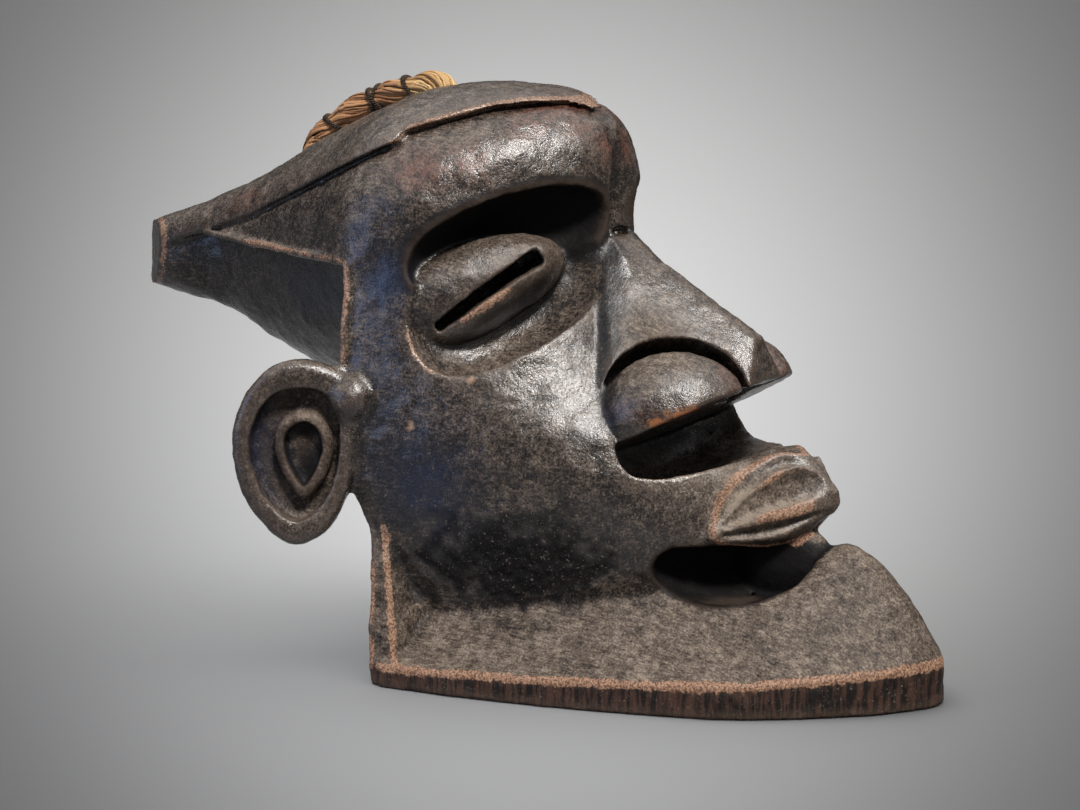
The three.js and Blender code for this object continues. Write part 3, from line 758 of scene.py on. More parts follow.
def to_mesh_points(block):
    """Points and quads of the whole mask from its carved half, with the foot and the horn cut flat."""
    half = soften(block.wood, 1)
    full = np.concatenate([half[:0:-1], half])
    first = np.array([1 - block.shape[0], block.first[1], block.first[2]])
    steps = [np.arange(count) + start for count, start in zip(full.shape, first)]
    x, y, z = np.ix_(*[(step * block.pitch).astype(np.float32) for step in steps])
    saw = in_axes((x, y, z), HORN_CUT["at"], [unit(HORN_CUT["facing"])])[0]
    full = np.maximum(np.maximum(full, -z), saw.astype(np.float32))
    grid = vdb.FloatGrid(3.0)
    grid.transform = vdb.createLinearTransform(voxelSize=block.pitch)
    grid.gridClass = vdb.GridClass.LEVEL_SET
    grid.copyFromArray(np.clip(full, -3, 3), ijk=[int(v) for v in first], tolerance=0.0)
    points, _, quads = grid.convertToPolygons(isovalue=0, adaptivity=0)
    return points.astype(float), quads[:, ::-1]


def trilinear(grid, cell, t):
    """Values between the eight points of a grid round each place, over its far edge from its near one."""
    value = 0
    for corner in np.ndindex(2, 2, 2):
        weight = np.prod(np.where(corner, t, 1 - t), axis=1)
        value = value + weight * grid[tuple(((cell + corner) % grid.shape).T)]
    return value


class Noise:
    """Smooth random values in space, the same each time for the same seed."""

    def __init__(self, seed, count=32):
        self.lattice = np.random.default_rng(seed).random((count, count, count)).astype(np.float32) * 2 - 1

    def at(self, points, size):
        """Values from -1 to 1 that change over about size mm, or over its three sizes."""
        place = points / np.array(size, float)
        cell = np.floor(place).astype(int)
        t = place - cell
        return trilinear(self.lattice, cell, t * t * (3 - 2 * t))

    def scoops(self, points, size):
        """Shallow overlapping hollows, as a blade leaves them: 0 at their ridges, 1 at the middle of each."""
        place = points / size
        cell = np.floor(place).astype(int)
        nearest = np.full(len(points), 9.0)
        for step in np.ndindex(3, 3, 3):
            near = cell + step - 1
            offset = [self.lattice[tuple(((near + shift) % self.lattice.shape).T)] for shift in (0, 7, 13)]
            away = near + 0.5 + SCOOPS["scatter"] * np.column_stack(offset) - place
            nearest = np.minimum(nearest, (away**2).sum(axis=1))
        return np.clip(1 - nearest / SCOOPS["edge"], 0, 1)


def one_side(points):
    """Points with both sides of the mask laid on one."""
    return np.column_stack([np.abs(points[:, 0]), points[:, 1:]])


def near(points, at, radii):
    """1 at a place on either side of the mask, falling to 0 at about the radii."""
    away = (one_side(points) - at) / radii
    return np.exp(-2 * (away**2).sum(axis=1))


def near_any(points, patches):
    """The sum of near for each patch of a zone."""
    return sum(near(points, at, radii) for at, radii in patches)


def sampled(values, first, pitch, points):
    """Values of a grid of one half at points in mm, x mirrored."""
    place = one_side(points) / pitch - first
    cell = np.clip(np.floor(place).astype(int), 0, np.array(values.shape) - 2)
    return trilinear(values, cell, np.clip(place - cell, 0, 1))


def relief(points, normals):
    """How far the surface moves along its normals in mm: blade marks, pits, crust and a chipped rim."""
    noise = Noise(SEED)
    outer = smoothstep(*OUTWARD["over"], (normals * unit_away(points)).sum(axis=1))
    move = -BLADE["deep"] * noise.scoops(points, BLADE["wide"])
    for wide, high in SWELLS:
        move = move + high * noise.at(points, wide)
    lumps = LUMPS["high"] * noise.scoops(points + LUMPS["shift"], LUMPS["wide"]) - LUMPS["high"] / 2
    lumps = lumps + LUMPS["rough"] * noise.at(points, LUMPS["fine"])
    move += near(points, CRUST["at"], CRUST["radii"]) * lumps * outer
    rim = smoothstep(*NICKS["fade"], np.abs(points[:, 2] - NICKS["height"]) - NICKS["half"]) * outer
    nicks = NICKS["deep"] * np.clip(noise.at(points, NICKS["wide"]) - NICKS["from"], 0, 1)
    move -= rim * (nicks + SCRATCHES["deep"] * noise.at(points, SCRATCHES["wide"]) ** 2)
    move += GRAIN["high"] * noise.at(points, GRAIN["wide"])
    return np.where(points[:, 2] < FOOT, 0, move)


def unit_away(points):
    """The direction from the middle of the head's hollow to each point."""
    away = points - OUTWARD["from"]
    return away / np.linalg.norm(away, axis=1)[:, None]


def in_metres(points):
    """Points in mm of the carving as one row of coordinates in the frame."""
    return ((points + SHIFT) * MM).astype(np.float32).ravel()


def new_mesh(name, points, faces):
    """A smooth-shaded mesh object from points in mm and quads or triangles."""
    mesh = bpy.data.meshes.new(name)
    faces = np.asarray(faces, np.int32)
    sides = faces.shape[1]
    mesh.vertices.add(len(points))
    mesh.vertices.foreach_set("co", in_metres(points))
    mesh.loops.add(faces.size)
    mesh.loops.foreach_set("vertex_index", faces.ravel())
    mesh.polygons.add(len(faces))
    mesh.polygons.foreach_set("loop_start", np.arange(0, faces.size, sides, dtype=np.int32))
    mesh.polygons.foreach_set("loop_total", np.full(len(faces), sides, np.int32))
    mesh.polygons.foreach_set("use_smooth", np.ones(len(faces), bool))
    mesh.update(calc_edges=True)
    thing = bpy.data.objects.new(name, mesh)
    bpy.context.scene.collection.objects.link(thing)
    return thing


def settle(thing):
    """Applies an object's modifiers to its mesh."""
    graph = bpy.context.evaluated_depsgraph_get()
    mesh = bpy.data.meshes.new_from_object(thing.evaluated_get(graph))
    thing.modifiers.clear()
    thing.data = mesh


def read_rows(elements, what):
    """Three values for each element of a mesh, as rows."""
    values = np.empty(len(elements) * 3, np.float32)
    elements.foreach_get(what, values)
    return values.reshape(-1, 3)


def read_points(mesh):
    """A mesh's points in mm of the carving."""
    return read_rows(mesh.vertices, "co") / MM - SHIFT


def read_normals(mesh):
    """The directions in which a mesh's points face."""
    return read_rows(mesh.vertex_normals, "vector").astype(float)


def store(mesh, name, values):
    """Keeps one value for each point, which a material reads by its name."""
    mesh.attributes.new(name, "FLOAT", "POINT").data.foreach_set("value", np.asarray(values, np.float32))


def mask_body(pitch, budget):
    """The carved mask as one mesh, with what its material reads stored on it."""
    block = carve(pitch)
    points, quads = to_mesh_points(block)
    mask = new_mesh("mask_wood", points, quads)
    normals = read_normals(mask.data)
    low, high = (np.array(corner) / MM - SHIFT for corner in CAD_BOX)
    moved = np.clip(points + normals * relief(points, normals)[:, None], low, high)
    mask.data.vertices.foreach_set("co", in_metres(moved))
    fewer = mask.modifiers.new("Fewer", "DECIMATE")
    fewer.ratio = budget / (2 * len(quads))
    fewer.use_collapse_triangulate = True
    settle(mask)
    mark_wood(mask.data, block)
    return mask


def matte_share(points):
    """Where the wood is dusty instead of polished: the flange and its fins, the lips and the ears' bowls."""
    below = smoothstep(*MATTE["over"], points[:, 2] + MATTE["lean"] * np.minimum(points[:, 1], 0))
    bowl = smoothstep(2, 0, ear_piece("bowl")[2](*one_side(points).T))
    return np.clip(below + bowl + near_any(points, DUSTY), 0, 1)


def painted_shade_share(points):
    """Painted shade, black where hollows lie in shadow: over the eyes, under the lips and on the keel,
    fainter under the nose and in the ear's pit; with grime beside the nose; and darker on the lower lid.
    """
    x, y, z = one_side(points).T

    def within(form, low, high):
        """1 in a form and 0 outside it, from the two distances given."""
        return smoothstep(high, low, form[2](x, y, z))

    bean = ellipsoid(BEAN)
    lids = np.minimum(ellipsoid(UPPER_LID)[2](x, y, z), bean[2](x, y, z))
    # Painted shade in the brow hollow, kept off the lids and the side of the nose
    over_eye = within(ellipsoid(BROW_HOLLOW), 4, 7) * smoothstep(1, 3, lids)
    over_eye *= smoothstep(-3, 3, ellipsoid(NOSE_SIDE)[2](x, y, z))
    keel = within(ellipsoid(KEEL), 1, 4) * smoothstep(*KEEL_SHADE_HEIGHTS, z)
    _, down, _ = in_axes((x, y, z), BEAN["at"], axes_of(**EYE))
    crease = [np.array(mark["crease"]) + NOSE_GRIME_AND_SHADE["off"] for mark in (NOSE_ROOT, NOSE_END, NOSE_TIP)]
    return np.max([
        over_eye,
        within(under_lip(), 0.5, 3),
        keel,
        PAINTED_SHADE["nose"] * within(under_nose(), 0.5, 3),
        PAINTED_SHADE["ear"] * within(ear_piece("pit"), 0, 1.5),
        # Darker on the lower part of the lower lid
        PAINTED_SHADE["lid"] * within(bean, 0, 2) * smoothstep(6, 10, down),
        # Painted shade with grime beside the nose
        PAINTED_SHADE["beside"] * smoothstep(*NOSE_GRIME_AND_SHADE["over"], bead(crease, 0)[2](x, y, z)),
    ], axis=0)


def bare_share(points):
    """Where handling has bared tan wood along edges: the lips, flange, fins, temples, lower lids and cap."""
    share, *heights = smooth_rows(LIP_LINES, BARE_LIPS_STEPS).T
    plate = LIPS["prow"] + LIPS["sweep"] * share ** LIPS["round"]
    upper, lower = (
        np.column_stack([LIPS["half"] * share, plate + LIP_SETBACK[line] * (1 - share**3), heights[line]])
        for line in (0, 5)
    )
    along, down, out = axes_of(**EYE)
    lid_edge = BEAN["at"] + down * SLIT["radius"] + out * BEAN["radii"][2] * BARE_LID["out"]
    lid = [lid_edge + along * place for place in BARE_LID["along"]]
    edges = [
        ("lips", upper), ("lips", lower), ("flange", FLANGE_RIM), ("fin", FIN_FRONT[1:3]),
        ("temple", TEMPLE_RIDGE[1:]), ("lid", lid),
    ]
    x, y, z = one_side(points).T
    over = over_cap_edge(y, z)
    cap = smoothstep(BARE["cap"], 0.4 * BARE["cap"], over)
    cap *= smoothstep(*BARE_CAP["below"], over) * smoothstep(*BARE_CAP["back"], y)
    bands = [smoothstep(BARE[kind], 0.3 * BARE[kind], bead(line, 0)[2](x, y, z)) for kind, line in edges]
    return np.max([cap, *bands], axis=0)


def mark_wood(mesh, block):
    """Stores where edges, hollows, crust and worn patches are, and where shade and a reflection are painted,
    for the material to read.
    """
    points = read_points(mesh)
    height = points[:, 2]
    noise = Noise(SEED + 1)
    coarse = block.wood[::2, ::2, ::2]
    place = (block.first / 2, block.pitch * 2, points)
    bend = sampled(soften(coarse, SOFTER["bend"]), *place) - sampled(coarse, *place)
    solid = np.where(coarse < 0, 1.0, 0.0).astype(np.float32)
    wood_round = sampled(soften(solid, SOFTER["occlusion_shade"]), *place)
    from_saw = (points - HORN_CUT["at"]) @ unit(HORN_CUT["facing"])
    rubbed = near_any(points, RUBBED)
    rubbed += RIM_RUBBED["share"] * smoothstep(*RIM_RUBBED["over"], height) * (height > RIM_RUBBED["from"])
    rubbed += smoothstep(-3, -1, from_saw)
    horn_edge = smoothstep(-5.5, -3.5, from_saw) * smoothstep(-0.8, -1.6, from_saw)
    rim = np.array(FLANGE_RIM)
    ragged = 0.35 * noise.at(points, 9) + 0.25 * noise.at(points, 4)
    worn = near_any(points, WORN)
    chips = sum(near(points, at, (size,) * 3) for at, size in CHIPS)
    marks = {
        "edge": smoothstep(0.3, 1.3, bend),
        "crease": smoothstep(0.15, 0.9, -bend),
        # Painted occlusion shade: darker where much wood surrounds a spot
        "occlusion_shade": smoothstep(0.5, 0.72, wood_round),
        "rubbed": smoothstep(0.25, 0.8, rubbed),
        "sawn": smoothstep(-1.6, -0.8, from_saw),
        "bare": np.maximum(bare_share(points), horn_edge),
        "rim_side": smoothstep(0, -3, height - np.interp(points[:, 1], rim[:, 1], rim[:, 2])),
        "matte": matte_share(points),
        # Painted shade: black where hollows lie in shadow
        "painted_shade": painted_shade_share(points),
        "crust": smoothstep(0.25, 0.85, near(points, CRUST["at"], CRUST["radii"]) + ragged * 0.9),
        "worn": np.clip(worn + ragged * worn, 0, 1),
        "chip": smoothstep(0.3, 0.5, chips + 0.3 * ragged),
    }
    for name, patches in (("pale", PALE), ("painted_reflection", PAINTED_REFLECTION), ("orange", ORANGE)):
        marks[name] = np.clip(near_any(points, patches), 0, 1)
    for name, values in marks.items():
        store(mesh, name, values)


def tubes(centres, out, across, thick, wide, sides, closed=False):
    """Many tubes at once: rings of points round each line of centres, and the quads between them."""
    turn = np.arange(sides) / sides * 2 * math.pi
    rings = centres[:, :, None] + (
        (out * thick[..., None])[:, :, None] * np.cos(turn)[:, None]
        + (across * wide[..., None])[:, :, None] * np.sin(turn)[:, None]
    )
    lines, count = centres.shape[:2]
    index = np.arange(lines * count * sides).reshape(lines, count, sides)
    if closed:
        index = np.concatenate([index, index[:, :1]], axis=1)
    here, there = index[:, :-1], index[:, 1:]
    quads = np.stack([here, np.roll(here, -1, 2), np.roll(there, -1, 2), there], axis=-1).reshape(-1, 4)
    return rings.reshape(-1, 3), quads


def crest_line(u):
    """Points of the crest's middle line and its directions along, up and sideways, for u from 0 to 1."""
    rows = smooth_rows(CREST_ROUTE, 200)
    steps = np.linspace(0, 1, len(rows))
    y, z = (np.interp(u, steps, column) for column in rows.T)
    dy, dz = (np.interp(u, steps, np.gradient(column, steps)) for column in rows.T)
    along = np.stack([0 * u, dy, dz], axis=-1)
    along /= np.linalg.norm(along, axis=-1, keepdims=True)
    side = np.zeros_like(along) + (1, 0, 0)
    return np.stack([0 * u, y, z], axis=-1), along, np.cross(side, along), side


def crest_width(u):
    """The crest's radius along it: full in its lobes, pinched by the cords and narrow at its ends."""
    pinch = sum(np.exp(-(((u - place) / PINCH["long"]) ** 2)) for place, _ in BINDINGS.values())
    rear, front = (smoothstep(*limits, u) for limits in CREST_ENDS)
    return CREST_RADIUS * (1 - PINCH["share"] * pinch) * (rear * front)


def crest_body(count, turns, seed):
    """The raffia crest: flat fibres laid round a core and twisted along it."""
    draw = np.random.default_rng(seed)
    stations, sides = FIBRE["stations"], FIBRE["sides"]
    u = np.tile(np.linspace(0, 1, stations), (count, 1))
    middle, along, up, side = crest_line(u)

    def per_fibre(low, high):
        """One random value for each fibre."""
        return draw.uniform(low, high, (count, 1))

    def on_points(values):
        """Values for the fibres' stations, given to each point of the rings round them."""
        return np.repeat(np.broadcast_to(values, u.shape).ravel(), sides)

    swing = np.cumsum(draw.normal(0, FIBRE["wander"], u.shape), axis=1)
    swing += FIBRE["sway"] * np.sin(u * per_fibre(*FIBRE["sways"]))
    angle = per_fibre(0, 2 * math.pi) + turns * 2 * math.pi * u + swing
    depth = per_fibre(*FIBRE["depth"])
    depth = depth + FIBRE["dip"] * np.sin(u * per_fibre(*FIBRE["dips"]) + angle[:, :1])
    out = up * np.cos(angle)[..., None] + side * np.sin(angle)[..., None]
    centres = middle + out * (crest_width(u) * depth)[..., None]
    wide = per_fibre(*FIBRE["wide"]) * (1 + FIBRE["swell"] * np.sin(u * FIBRE["swells"] + angle[:, :1]))
    thick = np.full_like(u, FIBRE["thick"])
    core = FIBRE["core"] * crest_width(u[0])
    centres[0], thick[0], wide[0] = middle[0], core, core
    points, quads = tubes(centres, out, np.cross(along, out), thick, wide, sides)
    crest = new_mesh("crest_raffia", points, quads)
    store(crest.data, "tone", on_points(draw.random((count, 1))))
    store(crest.data, "along", on_points(u))
    return crest


def cord_body(name, place, leans):
    """One binding: two turns of two-ply cord round the crest, each leaning its own way."""
    turn = np.tile(np.arange(CORD["stations"]) / CORD["stations"] * 2 * math.pi, (4, 1))
    lean = np.repeat(leans, 2)[:, None]
    middle, along, up, side = crest_line(np.full_like(turn, place))
    out = up * np.cos(turn)[..., None] + side * np.sin(turn)[..., None]
    radius = crest_width(np.full_like(turn, place)) + CORD["gap"]
    ring = middle + out * radius[..., None] + along * (radius * lean * np.cos(turn))[..., None]
    twist = turn * CORD["twists"] + np.tile((0, math.pi), 2)[:, None]
    outward = out * np.cos(twist)[..., None] + along * np.sin(twist)[..., None]
    centres = ring + outward * CORD["ply"] * CORD["spread"]
    thick = np.full_like(turn, CORD["ply"])
    across = np.cross(np.cross(along, out), outward)
    points, quads = tubes(centres, outward, across, thick, thick, CORD["sides"], closed=True)
    return new_mesh(name, points, quads)


class Graph:
    """Writes the nodes of one material."""

    def __init__(self, name):
        self.material = bpy.data.materials.new(name)
        self.material.use_nodes = True
        self.tree = self.material.node_tree
        self.tree.nodes.clear()
        place = self.node("TexCoord")["Object"]
        self.place = self.node("VectorMath", {"operation": "MULTIPLY"}, {0: place, 1: (1 / MM,) * 3})[0]

    def node(self, kind, settings=None, sockets=None):
        """Adds a node, sets its options, and sets or links its inputs; returns its outputs."""
        node = self.tree.nodes.new("ShaderNode" + kind)
        for key, value in (settings or {}).items():
            setattr(node, key, value)
        for key, value in (sockets or {}).items():
            if isinstance(value, bpy.types.NodeSocket):
                self.tree.links.new(value, node.inputs[key])
            else:
                node.inputs[key].default_value = value
        return node.outputs

    def math(self, operation, first, second=0.0, third=0.0):
        """One sum of numbers."""
        return self.node("Math", {"operation": operation}, {0: first, 1: second, 2: third})[0]

    def times(self, first, second):
        """The product of two values."""
        return self.math("MULTIPLY", first, second)

    def rest_of(self, value):
        """What a share leaves of 1."""
        return self.math("SUBTRACT", 1.0, value)

    def total(self, start, *parts):
        """A start value plus other values, each times its weight."""
        for value, weight in parts:
            start = self.math("MULTIPLY_ADD", value, weight, start)
        return start

    def noise(self, size, detail=3, rough=0.6, stretch=(1, 1, 1), shift=0):
        """Noise about size mm across, from 0 to 1, drawn out along the axes by stretch."""
        scale = tuple(1 / (size * s) for s in stretch)
        place = self.node("VectorMath", {"operation": "MULTIPLY"}, {0: self.place, 1: scale})[0]
        place = self.node("VectorMath", {"operation": "ADD"}, {0: place, 1: (shift,) * 3})[0]
        sockets = {"Vector": place, "Scale": 1.0, "Detail": detail, "Roughness": rough}
        return self.node("TexNoise", None, sockets)[0]

    def attribute(self, name):
        """A value stored on the mesh."""
        return self.node("Attribute", {"attribute_name": name})["Fac"]

    def step(self, value, low, high):
        """0 below low, 1 above high and smooth between; the other way round if high is the lower."""
        if low > high:
            return self.rest_of(self.step(value, high, low))
        sockets = {"Value": value, "From Min": low, "From Max": high}
        return self.node("MapRange", {"interpolation_type": "SMOOTHSTEP"}, sockets)[0]

    def blend(self, share, first, second):
        """A colour between two."""
        sockets = {0: share, 6: self.colour(first), 7: self.colour(second)}
        return self.node("Mix", {"data_type": "RGBA"}, sockets)[2]

    @staticmethod
    def colour(value):
        """A colour with its alpha, or a socket as it is."""
        return value if isinstance(value, bpy.types.NodeSocket) else (*value, 1.0)

    def finish(self, colour, rough, height=None, depth=0.1, gloss=0.5):
        """Ends the material in one Principled shader, with fine relief up to a depth in mm."""
        sockets = {"Base Color": colour, "Roughness": rough, "Specular IOR Level": gloss}
        if height is not None:
            lift = {"Height": height, "Distance": depth * MM, "Strength": 1.0}
            sockets["Normal"] = self.node("Bump", None, lift)["Normal"]
        shader = self.node("BsdfPrincipled", None, sockets)[0]
        self.node("OutputMaterial", None, {"Surface": shader})
        return self.material


def wood_material(settings):
    """Dark handled wood: worn red-brown, grey dust, tan edges and black crust, with painted shade that
    blackens the hollows and darkens enclosed spots, and a painted bluish-black reflection.
    """
    g = Graph("Patinated wood")
    edge, rubbed, crease, occlusion_shade = (g.attribute(n) for n in ("edge", "rubbed", "crease", "occlusion_shade"))
    matte, painted_shade, painted_reflection, orange = (g.attribute(n) for n in ("matte", "painted_shade", "painted_reflection", "orange"))
    crust, worn, chip, sawn, bare = (g.attribute(n) for n in ("crust", "worn", "chip", "sawn", "bare"))
    rim_side, pale = g.attribute("rim_side"), g.attribute("pale")
    upward = g.node("SeparateXYZ", None, {0: g.node("NewGeometry")["Normal"]})[2]
    broad, patch, mottle, fine, speck, fibre, cuts = (g.noise(*row) for row in NOISES.values())
    # The painted shade of the hollows makes the tone black, the painted occlusion shade makes enclosed spots
    # a little darker, and the painted reflection is darker too
    level = g.total(
        LEVEL, (fine, 1.6), (fibre, 1.4), (mottle, 1.1), (patch, 0.8), (broad, 0.4),
        (g.step(upward, -0.4, 0.9), 0.3), (matte, 0.12), (crust, -0.5), (painted_shade, -1.0), (occlusion_shade, -0.15),
        (crease, -0.15), (painted_reflection, -0.3), (rim_side, -0.5), (pale, 0.45),
    )
    tone = TONES["black"]
    for name, limits in LEVEL_STEPS.items():
        tone = g.blend(g.step(level, *limits), tone, getattr(settings, name))
    rim = g.blend(g.step(cuts, 0.4, 0.62), TONES["rim_dark"], TONES["rim"])
    reddish = g.times(worn, g.step(g.math("ADD", mottle, fine), 0.85, 1.15))
    specks = g.times(g.step(speck, 0.6, 0.68), g.total(g.step(mottle, 0.4, 0.6), (crust, 0.5)))
    ragged = g.total(-1.2, (cuts, 0.6), (fine, 0.4), (mottle, 1.4))
    laid_bare = g.step(g.math("ADD", g.math("MAXIMUM", g.times(edge, rubbed), bare), ragged), 0.42, 0.78)
    tan = g.blend(g.step(fine, 0.38, 0.62), TONES["tan_dark"], settings.tan)
    fresh = g.step(g.math("ADD", orange, ragged), 0.3, 0.7)
    layers = [
        (g.times(rim_side, 0.75), rim),
        # Painted reflection, bluish-black
        (g.times(painted_reflection, 0.6), settings.reflection_tone),
        (g.times(reddish, 0.8), settings.worn),
        # No specks where the shade is painted
        (g.times(g.times(specks, g.rest_of(painted_shade)), 0.6), TONES["speck"]),
        (g.times(edge, 0.3), TONES["edge"]),
        (g.times(laid_bare, 0.85), tan),
        (g.times(fresh, 0.85), TONES["fresh"]),
        (chip, TONES["chip"]),
        (g.times(sawn, g.step(patch, 0.3, 0.5)), TONES["sawn"]),
    ]
    for share, colour in layers:
        tone = g.blend(share, tone, colour)
    dull = g.math("MAXIMUM", g.times(matte, 0.9), g.math("MAXIMUM", painted_shade, g.times(crust, 0.9)))
    polish = g.rest_of(dull)
    rough = g.total(0.43, (polish, -0.34), (fine, 0.35), (crust, 0.12))
    gloss = g.total(0.15, (polish, 0.75))
    height = g.total(g.times(mottle, 1.8), (fibre, 0.5), (fine, 0.45))
    return g.finish(tone, rough, height, depth=0.35, gloss=gloss)


def raffia_material(settings):
    """Dry leaf fibre, browner to the back and golden at the front."""
    g = Graph("Raffia")
    tone, along = g.attribute("tone"), g.attribute("along")
    streak = g.noise(0.8, rough=0.7, stretch=(1, 5, 5))
    brown = g.blend(tone, settings.brown, settings.pale_brown)
    gold = g.blend(tone, settings.gold, settings.pale_gold)
    colour = g.blend(g.step(along, 0.6, 0.8), brown, gold)
    colour = g.blend(g.step(streak, 0.52, 0.8), colour, settings.streak)
    return g.finish(colour, 0.68, streak, depth=0.15, gloss=0.3)


def cord_material(settings):
    """Dark spun cord with dusty ridges."""
    g = Graph("Cord")
    fine = g.noise(0.7, rough=0.7)
    colour = g.blend(g.step(fine, 0.4, 0.7), settings.cord, settings.cord_dust)
    return g.finish(colour, 0.8, fine, depth=0.2, gloss=0.25)


def view_axes():
    """The photographed view's camera place, and its directions back, right and up."""
    azimuth, elevation = (math.radians(VIEW[k]) for k in ("azimuth", "elevation"))
    level = math.cos(elevation)
    back = Vector((math.sin(azimuth) * level, -math.cos(azimuth) * level, math.sin(elevation)))
    right = Vector((math.cos(azimuth), math.sin(azimuth), 0))
    return Vector(VIEW["target"]) + back * VIEW["distance"], back, right, back.cross(right)


def floor_material():
    """Plain pale grey with a painted pool of light in the middle of the photographed view and painted shade
    round it.
    """
    g = Graph("Studio floor")
    eye, back, right, up = view_axes()
    place = g.node("TexCoord")["Object"]
    away = g.node("VectorMath", {"operation": "SUBTRACT"}, {0: place, 1: eye})[0]
    depth, across, high = (
        g.node("VectorMath", {"operation": "DOT_PRODUCT"}, {0: away, 1: axis})["Value"]
        for axis in (-back, right, up)
    )
    depth = g.math("MAXIMUM", depth, FLOOR["nearest"])
    across, high = (g.math("DIVIDE", value, depth) for value in (across, high))
    spread = g.math("SQRT", g.math("ADD", g.times(across, across), g.times(high, high)))
    # Painted pool of light, fading to painted shade away from the middle of the view
    light = g.step(spread, FLOOR["dark_from"], 0.0)
    return g.finish(g.blend(light, FLOOR["dark"], FLOOR["pale"]), 0.9, gloss=0.05)


def dress(thing, material, node):
    """Puts a finished piece in its node's place on the mask."""
    thing.data.materials.append(material)
    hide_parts(node)
    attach(thing, "root")


def add_lamp(name, kind, towards):
    """A lamp that shines from the direction given."""
    lamp = bpy.data.objects.new(name, bpy.data.lights.new(name, kind))
    lamp.rotation_euler = Vector(towards).to_track_quat("Z", "Y").to_euler()
    bpy.context.scene.collection.objects.link(lamp)
    return lamp


def add_fill(power_watts):
    """The soft square light on the ear's side, which faces the middle of the mask."""
    lamp = add_lamp("fill", "AREA", Vector(FILL["at"]) - Vector(VIEW["target"]))
    lamp.location = FILL["at"]
    lamp.data.size, lamp.data.energy, lamp.data.color = FILL["size"], power_watts, FILL["colour"]
    return lamp


def add_sun(name, strength):
    """Even light over everything from a direction; a wide spread makes it soft."""
    towards, spread, colour = SUNS[name]
    lamp = add_lamp(name, "SUN", towards)
    lamp.data.energy, lamp.data.angle, lamp.data.color = strength, math.radians(spread), colour
    return lamp


def light_only(lamp, thing, state):
    """Keeps a light to one object, or keeps it off that object."""
    linked = bpy.data.collections.new(lamp.name + "_reach")
    linked.objects.link(thing)
    linked.collection_objects[0].light_linking.link_state = state
    lamp.light_linking.receiver_collection = linked


def colour_setting(name, description, default):
    """A colour that a user can change."""
    limits = {"min": 0, "max": 1}
    return FloatVectorProperty(name=name, description=description, default=default, subtype="COLOR", **limits)


class WoodSettings(bpy.types.PropertyGroup):
    pitch: FloatProperty(
        name="Carving pitch", description="Distance between the points at which the wood is carved",
        default=0.00125, min=0.0008, max=0.004, unit="LENGTH", subtype="DISTANCE",
    )
    triangles: IntProperty(
        name="Triangles", description="Number of triangles of the finished wood",
        default=190000, min=20000, max=199000,
    )
    dark: colour_setting("Dark", "Darkest tone of the polished wood", (0.026, 0.019, 0.015))
    brown: colour_setting("Brown", "Middle tone of the wood", (0.095, 0.071, 0.055))
    dust: colour_setting("Dust", "Palest tone of the wood, where dust lies in it", (0.25, 0.20, 0.155))
    # Colour of the painted reflection at the side of the face
    reflection_tone: colour_setting("Sheen", "Blue-black sheen at the side of the face", (0.012, 0.020, 0.050))
    worn: colour_setting("Worn", "Red-brown of the worn patches", (0.16, 0.055, 0.036))
    tan: colour_setting("Tan", "Bare wood along the edges", (0.42, 0.25, 0.16))


class CrestSettings(bpy.types.PropertyGroup):
    fibres: IntProperty(
        name="Fibres", description="Number of raffia fibres in the crest", default=84, min=12, max=160,
    )
    turns: FloatProperty(
        name="Turns", description="How often the fibres wind round the crest", default=1.1, min=0, max=4,
    )
    seed: IntProperty(name="Seed", description="Start of the fibres' random places", default=5)
    brown: colour_setting("Brown", "Darkest fibres at the back", (0.22, 0.10, 0.045))
    pale_brown: colour_setting("Pale brown", "Palest fibres at the back", (0.50, 0.26, 0.12))
    gold: colour_setting("Gold", "Darkest fibres at the front", (0.42, 0.24, 0.10))
    pale_gold: colour_setting("Pale gold", "Palest fibres at the front", (0.70, 0.47, 0.22))
    streak: colour_setting("Streaks", "Dark streaks along the fibres", (0.12, 0.06, 0.03))
    cord: colour_setting("Cord", "Dark of the binding cords", (0.02, 0.014, 0.011))
    cord_dust: colour_setting("Cord's dust", "Dust on the binding cords", (0.12, 0.085, 0.06))


class StageSettings(bpy.types.PropertyGroup):
    key: FloatProperty(name="Key light", description="Strength of the light over the face", default=3.6)
    fill: FloatProperty(
        name="Fill light", description="Strength of the cool light on the ear's side", default=4,
        unit="POWER", subtype="POWER",
    )
    sky: FloatProperty(
        name="Overhead light", description="Strength of the even light from above", default=1.7,
    )
    backdrop: FloatProperty(
        name="Backdrop light", description="Strength of the light on the floor alone", default=2.65,
    )
    ambient: FloatProperty(name="Ambient", description="Strength of the light from all round", default=0.05)


class MASK_OT_wood(bpy.types.Operator):
    """Carve the mask's wood and colour it"""

    bl_idname = "mask.wood"
    bl_label = "Carve the wood"

    def execute(self, context):
        settings = context.scene.mask_wood
        pitch = settings.pitch / MM * 1
        dress(mask_body(pitch, settings.triangles), wood_material(settings), "mask")
        return {"FINISHED"}


class MASK_OT_crest(bpy.types.Operator):
    """Lay the fibres of the raffia crest"""

    bl_idname = "mask.crest"
    bl_label = "Lay the raffia crest"

    def execute(self, context):
        settings = context.scene.mask_crest
        crest = crest_body(settings.fibres, settings.turns, settings.seed)
        dress(crest, raffia_material(settings), "raffia_crest")
        return {"FINISHED"}


class MASK_OT_cords(bpy.types.Operator):
    """Wind the three cords that bind the crest"""

    bl_idname = "mask.cords"
    bl_label = "Wind the cords"

    def execute(self, context):
        material = cord_material(context.scene.mask_crest)
        for node, (place, leans) in BINDINGS.items():
            dress(cord_body(node.replace("binding_", ""), place, leans), material, node)
        return {"FINISHED"}


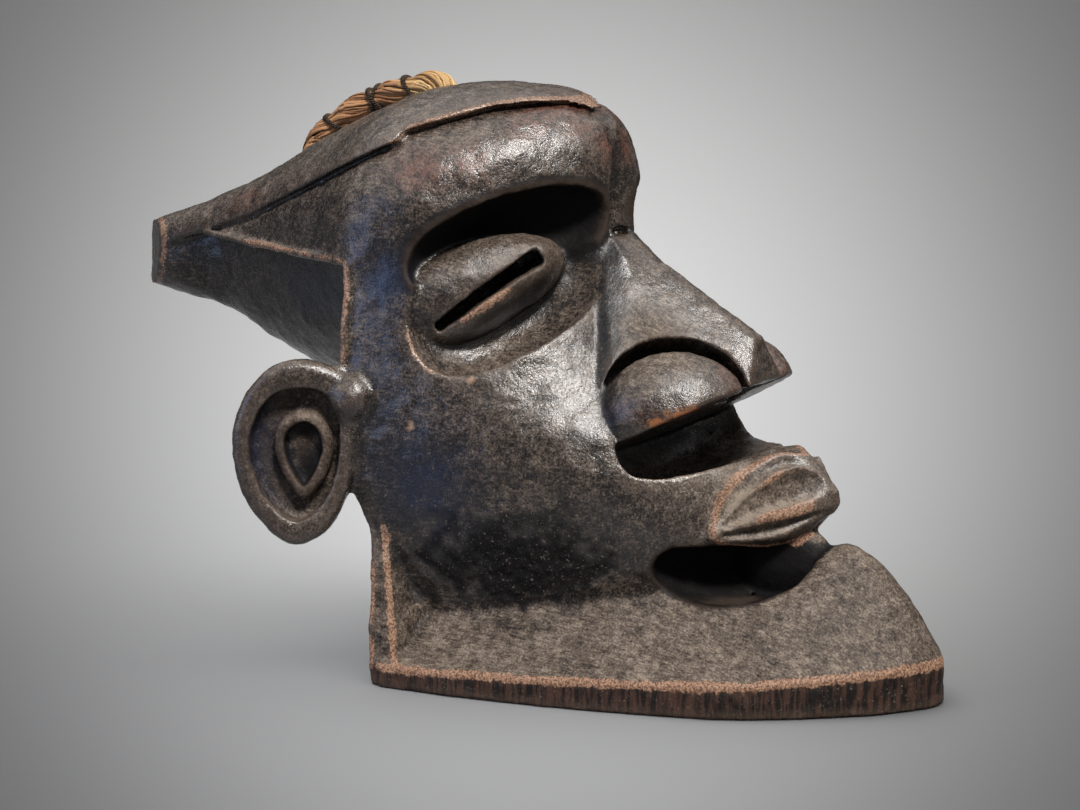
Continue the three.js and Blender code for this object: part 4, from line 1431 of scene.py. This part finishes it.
class MASK_OT_stage(bpy.types.Operator):
    """Set up the floor, the lights and the camera"""

    bl_idname = "mask.stage"
    bl_label = "Set the stage"

    def execute(self, context):
        settings = context.scene.mask_stage
        half = FLOOR["half"]
        corners = [(x * half, y * half, 0) for x, y in ((-1, -1), (1, -1), (1, 1), (-1, 1))]
        mesh = bpy.data.meshes.new("floor")
        mesh.from_pydata(corners, [], [(0, 1, 2, 3)])
        floor = bpy.data.objects.new("floor", mesh)
        context.scene.collection.objects.link(floor)
        mesh.materials.append(floor_material())
        key, sky = add_sun("key", settings.key), add_sun("sky", settings.sky)
        fill, backdrop = add_fill(settings.fill), add_sun("backdrop", settings.backdrop)
        light_only(key, floor, "EXCLUDE")
        light_only(backdrop, floor, "INCLUDE")
        world = bpy.data.worlds.new("Studio")
        world.use_nodes = True
        shader = world.node_tree.nodes["Background"]
        shader.inputs["Color"].default_value = AMBIENT
        shader.inputs["Strength"].default_value = settings.ambient
        context.scene.world = world
        context.scene.view_settings.view_transform = "Standard"
        eye, back, _, _ = view_axes()
        lens = bpy.data.cameras.new("camera")
        lens.lens, lens.sensor_width, lens.clip_end = (VIEW[k] for k in ("lens", "sensor", "reach"))
        camera = bpy.data.objects.new("camera", lens)
        camera.location = eye
        camera.rotation_euler = back.to_track_quat("Z", "Y").to_euler()
        context.scene.collection.objects.link(camera)
        context.scene.camera = camera
        return {"FINISHED"}


class MASK_PT_panel(bpy.types.Panel):
    """Lists the mask's settings and the steps that build it"""

    bl_label = "Helmet mask"
    bl_idname = "MASK_PT_panel"
    bl_space_type = "VIEW_3D"
    bl_region_type = "UI"
    bl_category = "Mask"

    def draw(self, context):
        for group, steps in PANEL_ROWS:
            settings = getattr(context.scene, group)
            for name in SETTINGS[group].__annotations__:
                self.layout.prop(settings, name)
            for step in steps:
                self.layout.operator(step)


PANEL_ROWS = [
    ("mask_wood", ("mask.wood",)),
    ("mask_crest", ("mask.crest", "mask.cords")),
    ("mask_stage", ("mask.stage",)),
]
SETTINGS = {"mask_wood": WoodSettings, "mask_crest": CrestSettings, "mask_stage": StageSettings}
CLASSES = [*SETTINGS.values(), MASK_OT_wood, MASK_OT_crest, MASK_OT_cords, MASK_OT_stage, MASK_PT_panel]


def register():
    """Adds the settings, the operators and the panel."""
    for kind in CLASSES:
        bpy.utils.register_class(kind)
    for name, kind in SETTINGS.items():
        setattr(bpy.types.Scene, name, PointerProperty(type=kind))


def unregister():
    """Takes them out again."""
    for name in SETTINGS:
        delattr(bpy.types.Scene, name)
    for kind in reversed(CLASSES):
        bpy.utils.unregister_class(kind)


def main():
    """Builds the mask and its stage."""
    register()
    bpy.ops.mask.wood()
    bpy.ops.mask.crest()
    bpy.ops.mask.cords()
    bpy.ops.mask.stage()


if __name__ == "__main__":
    main()
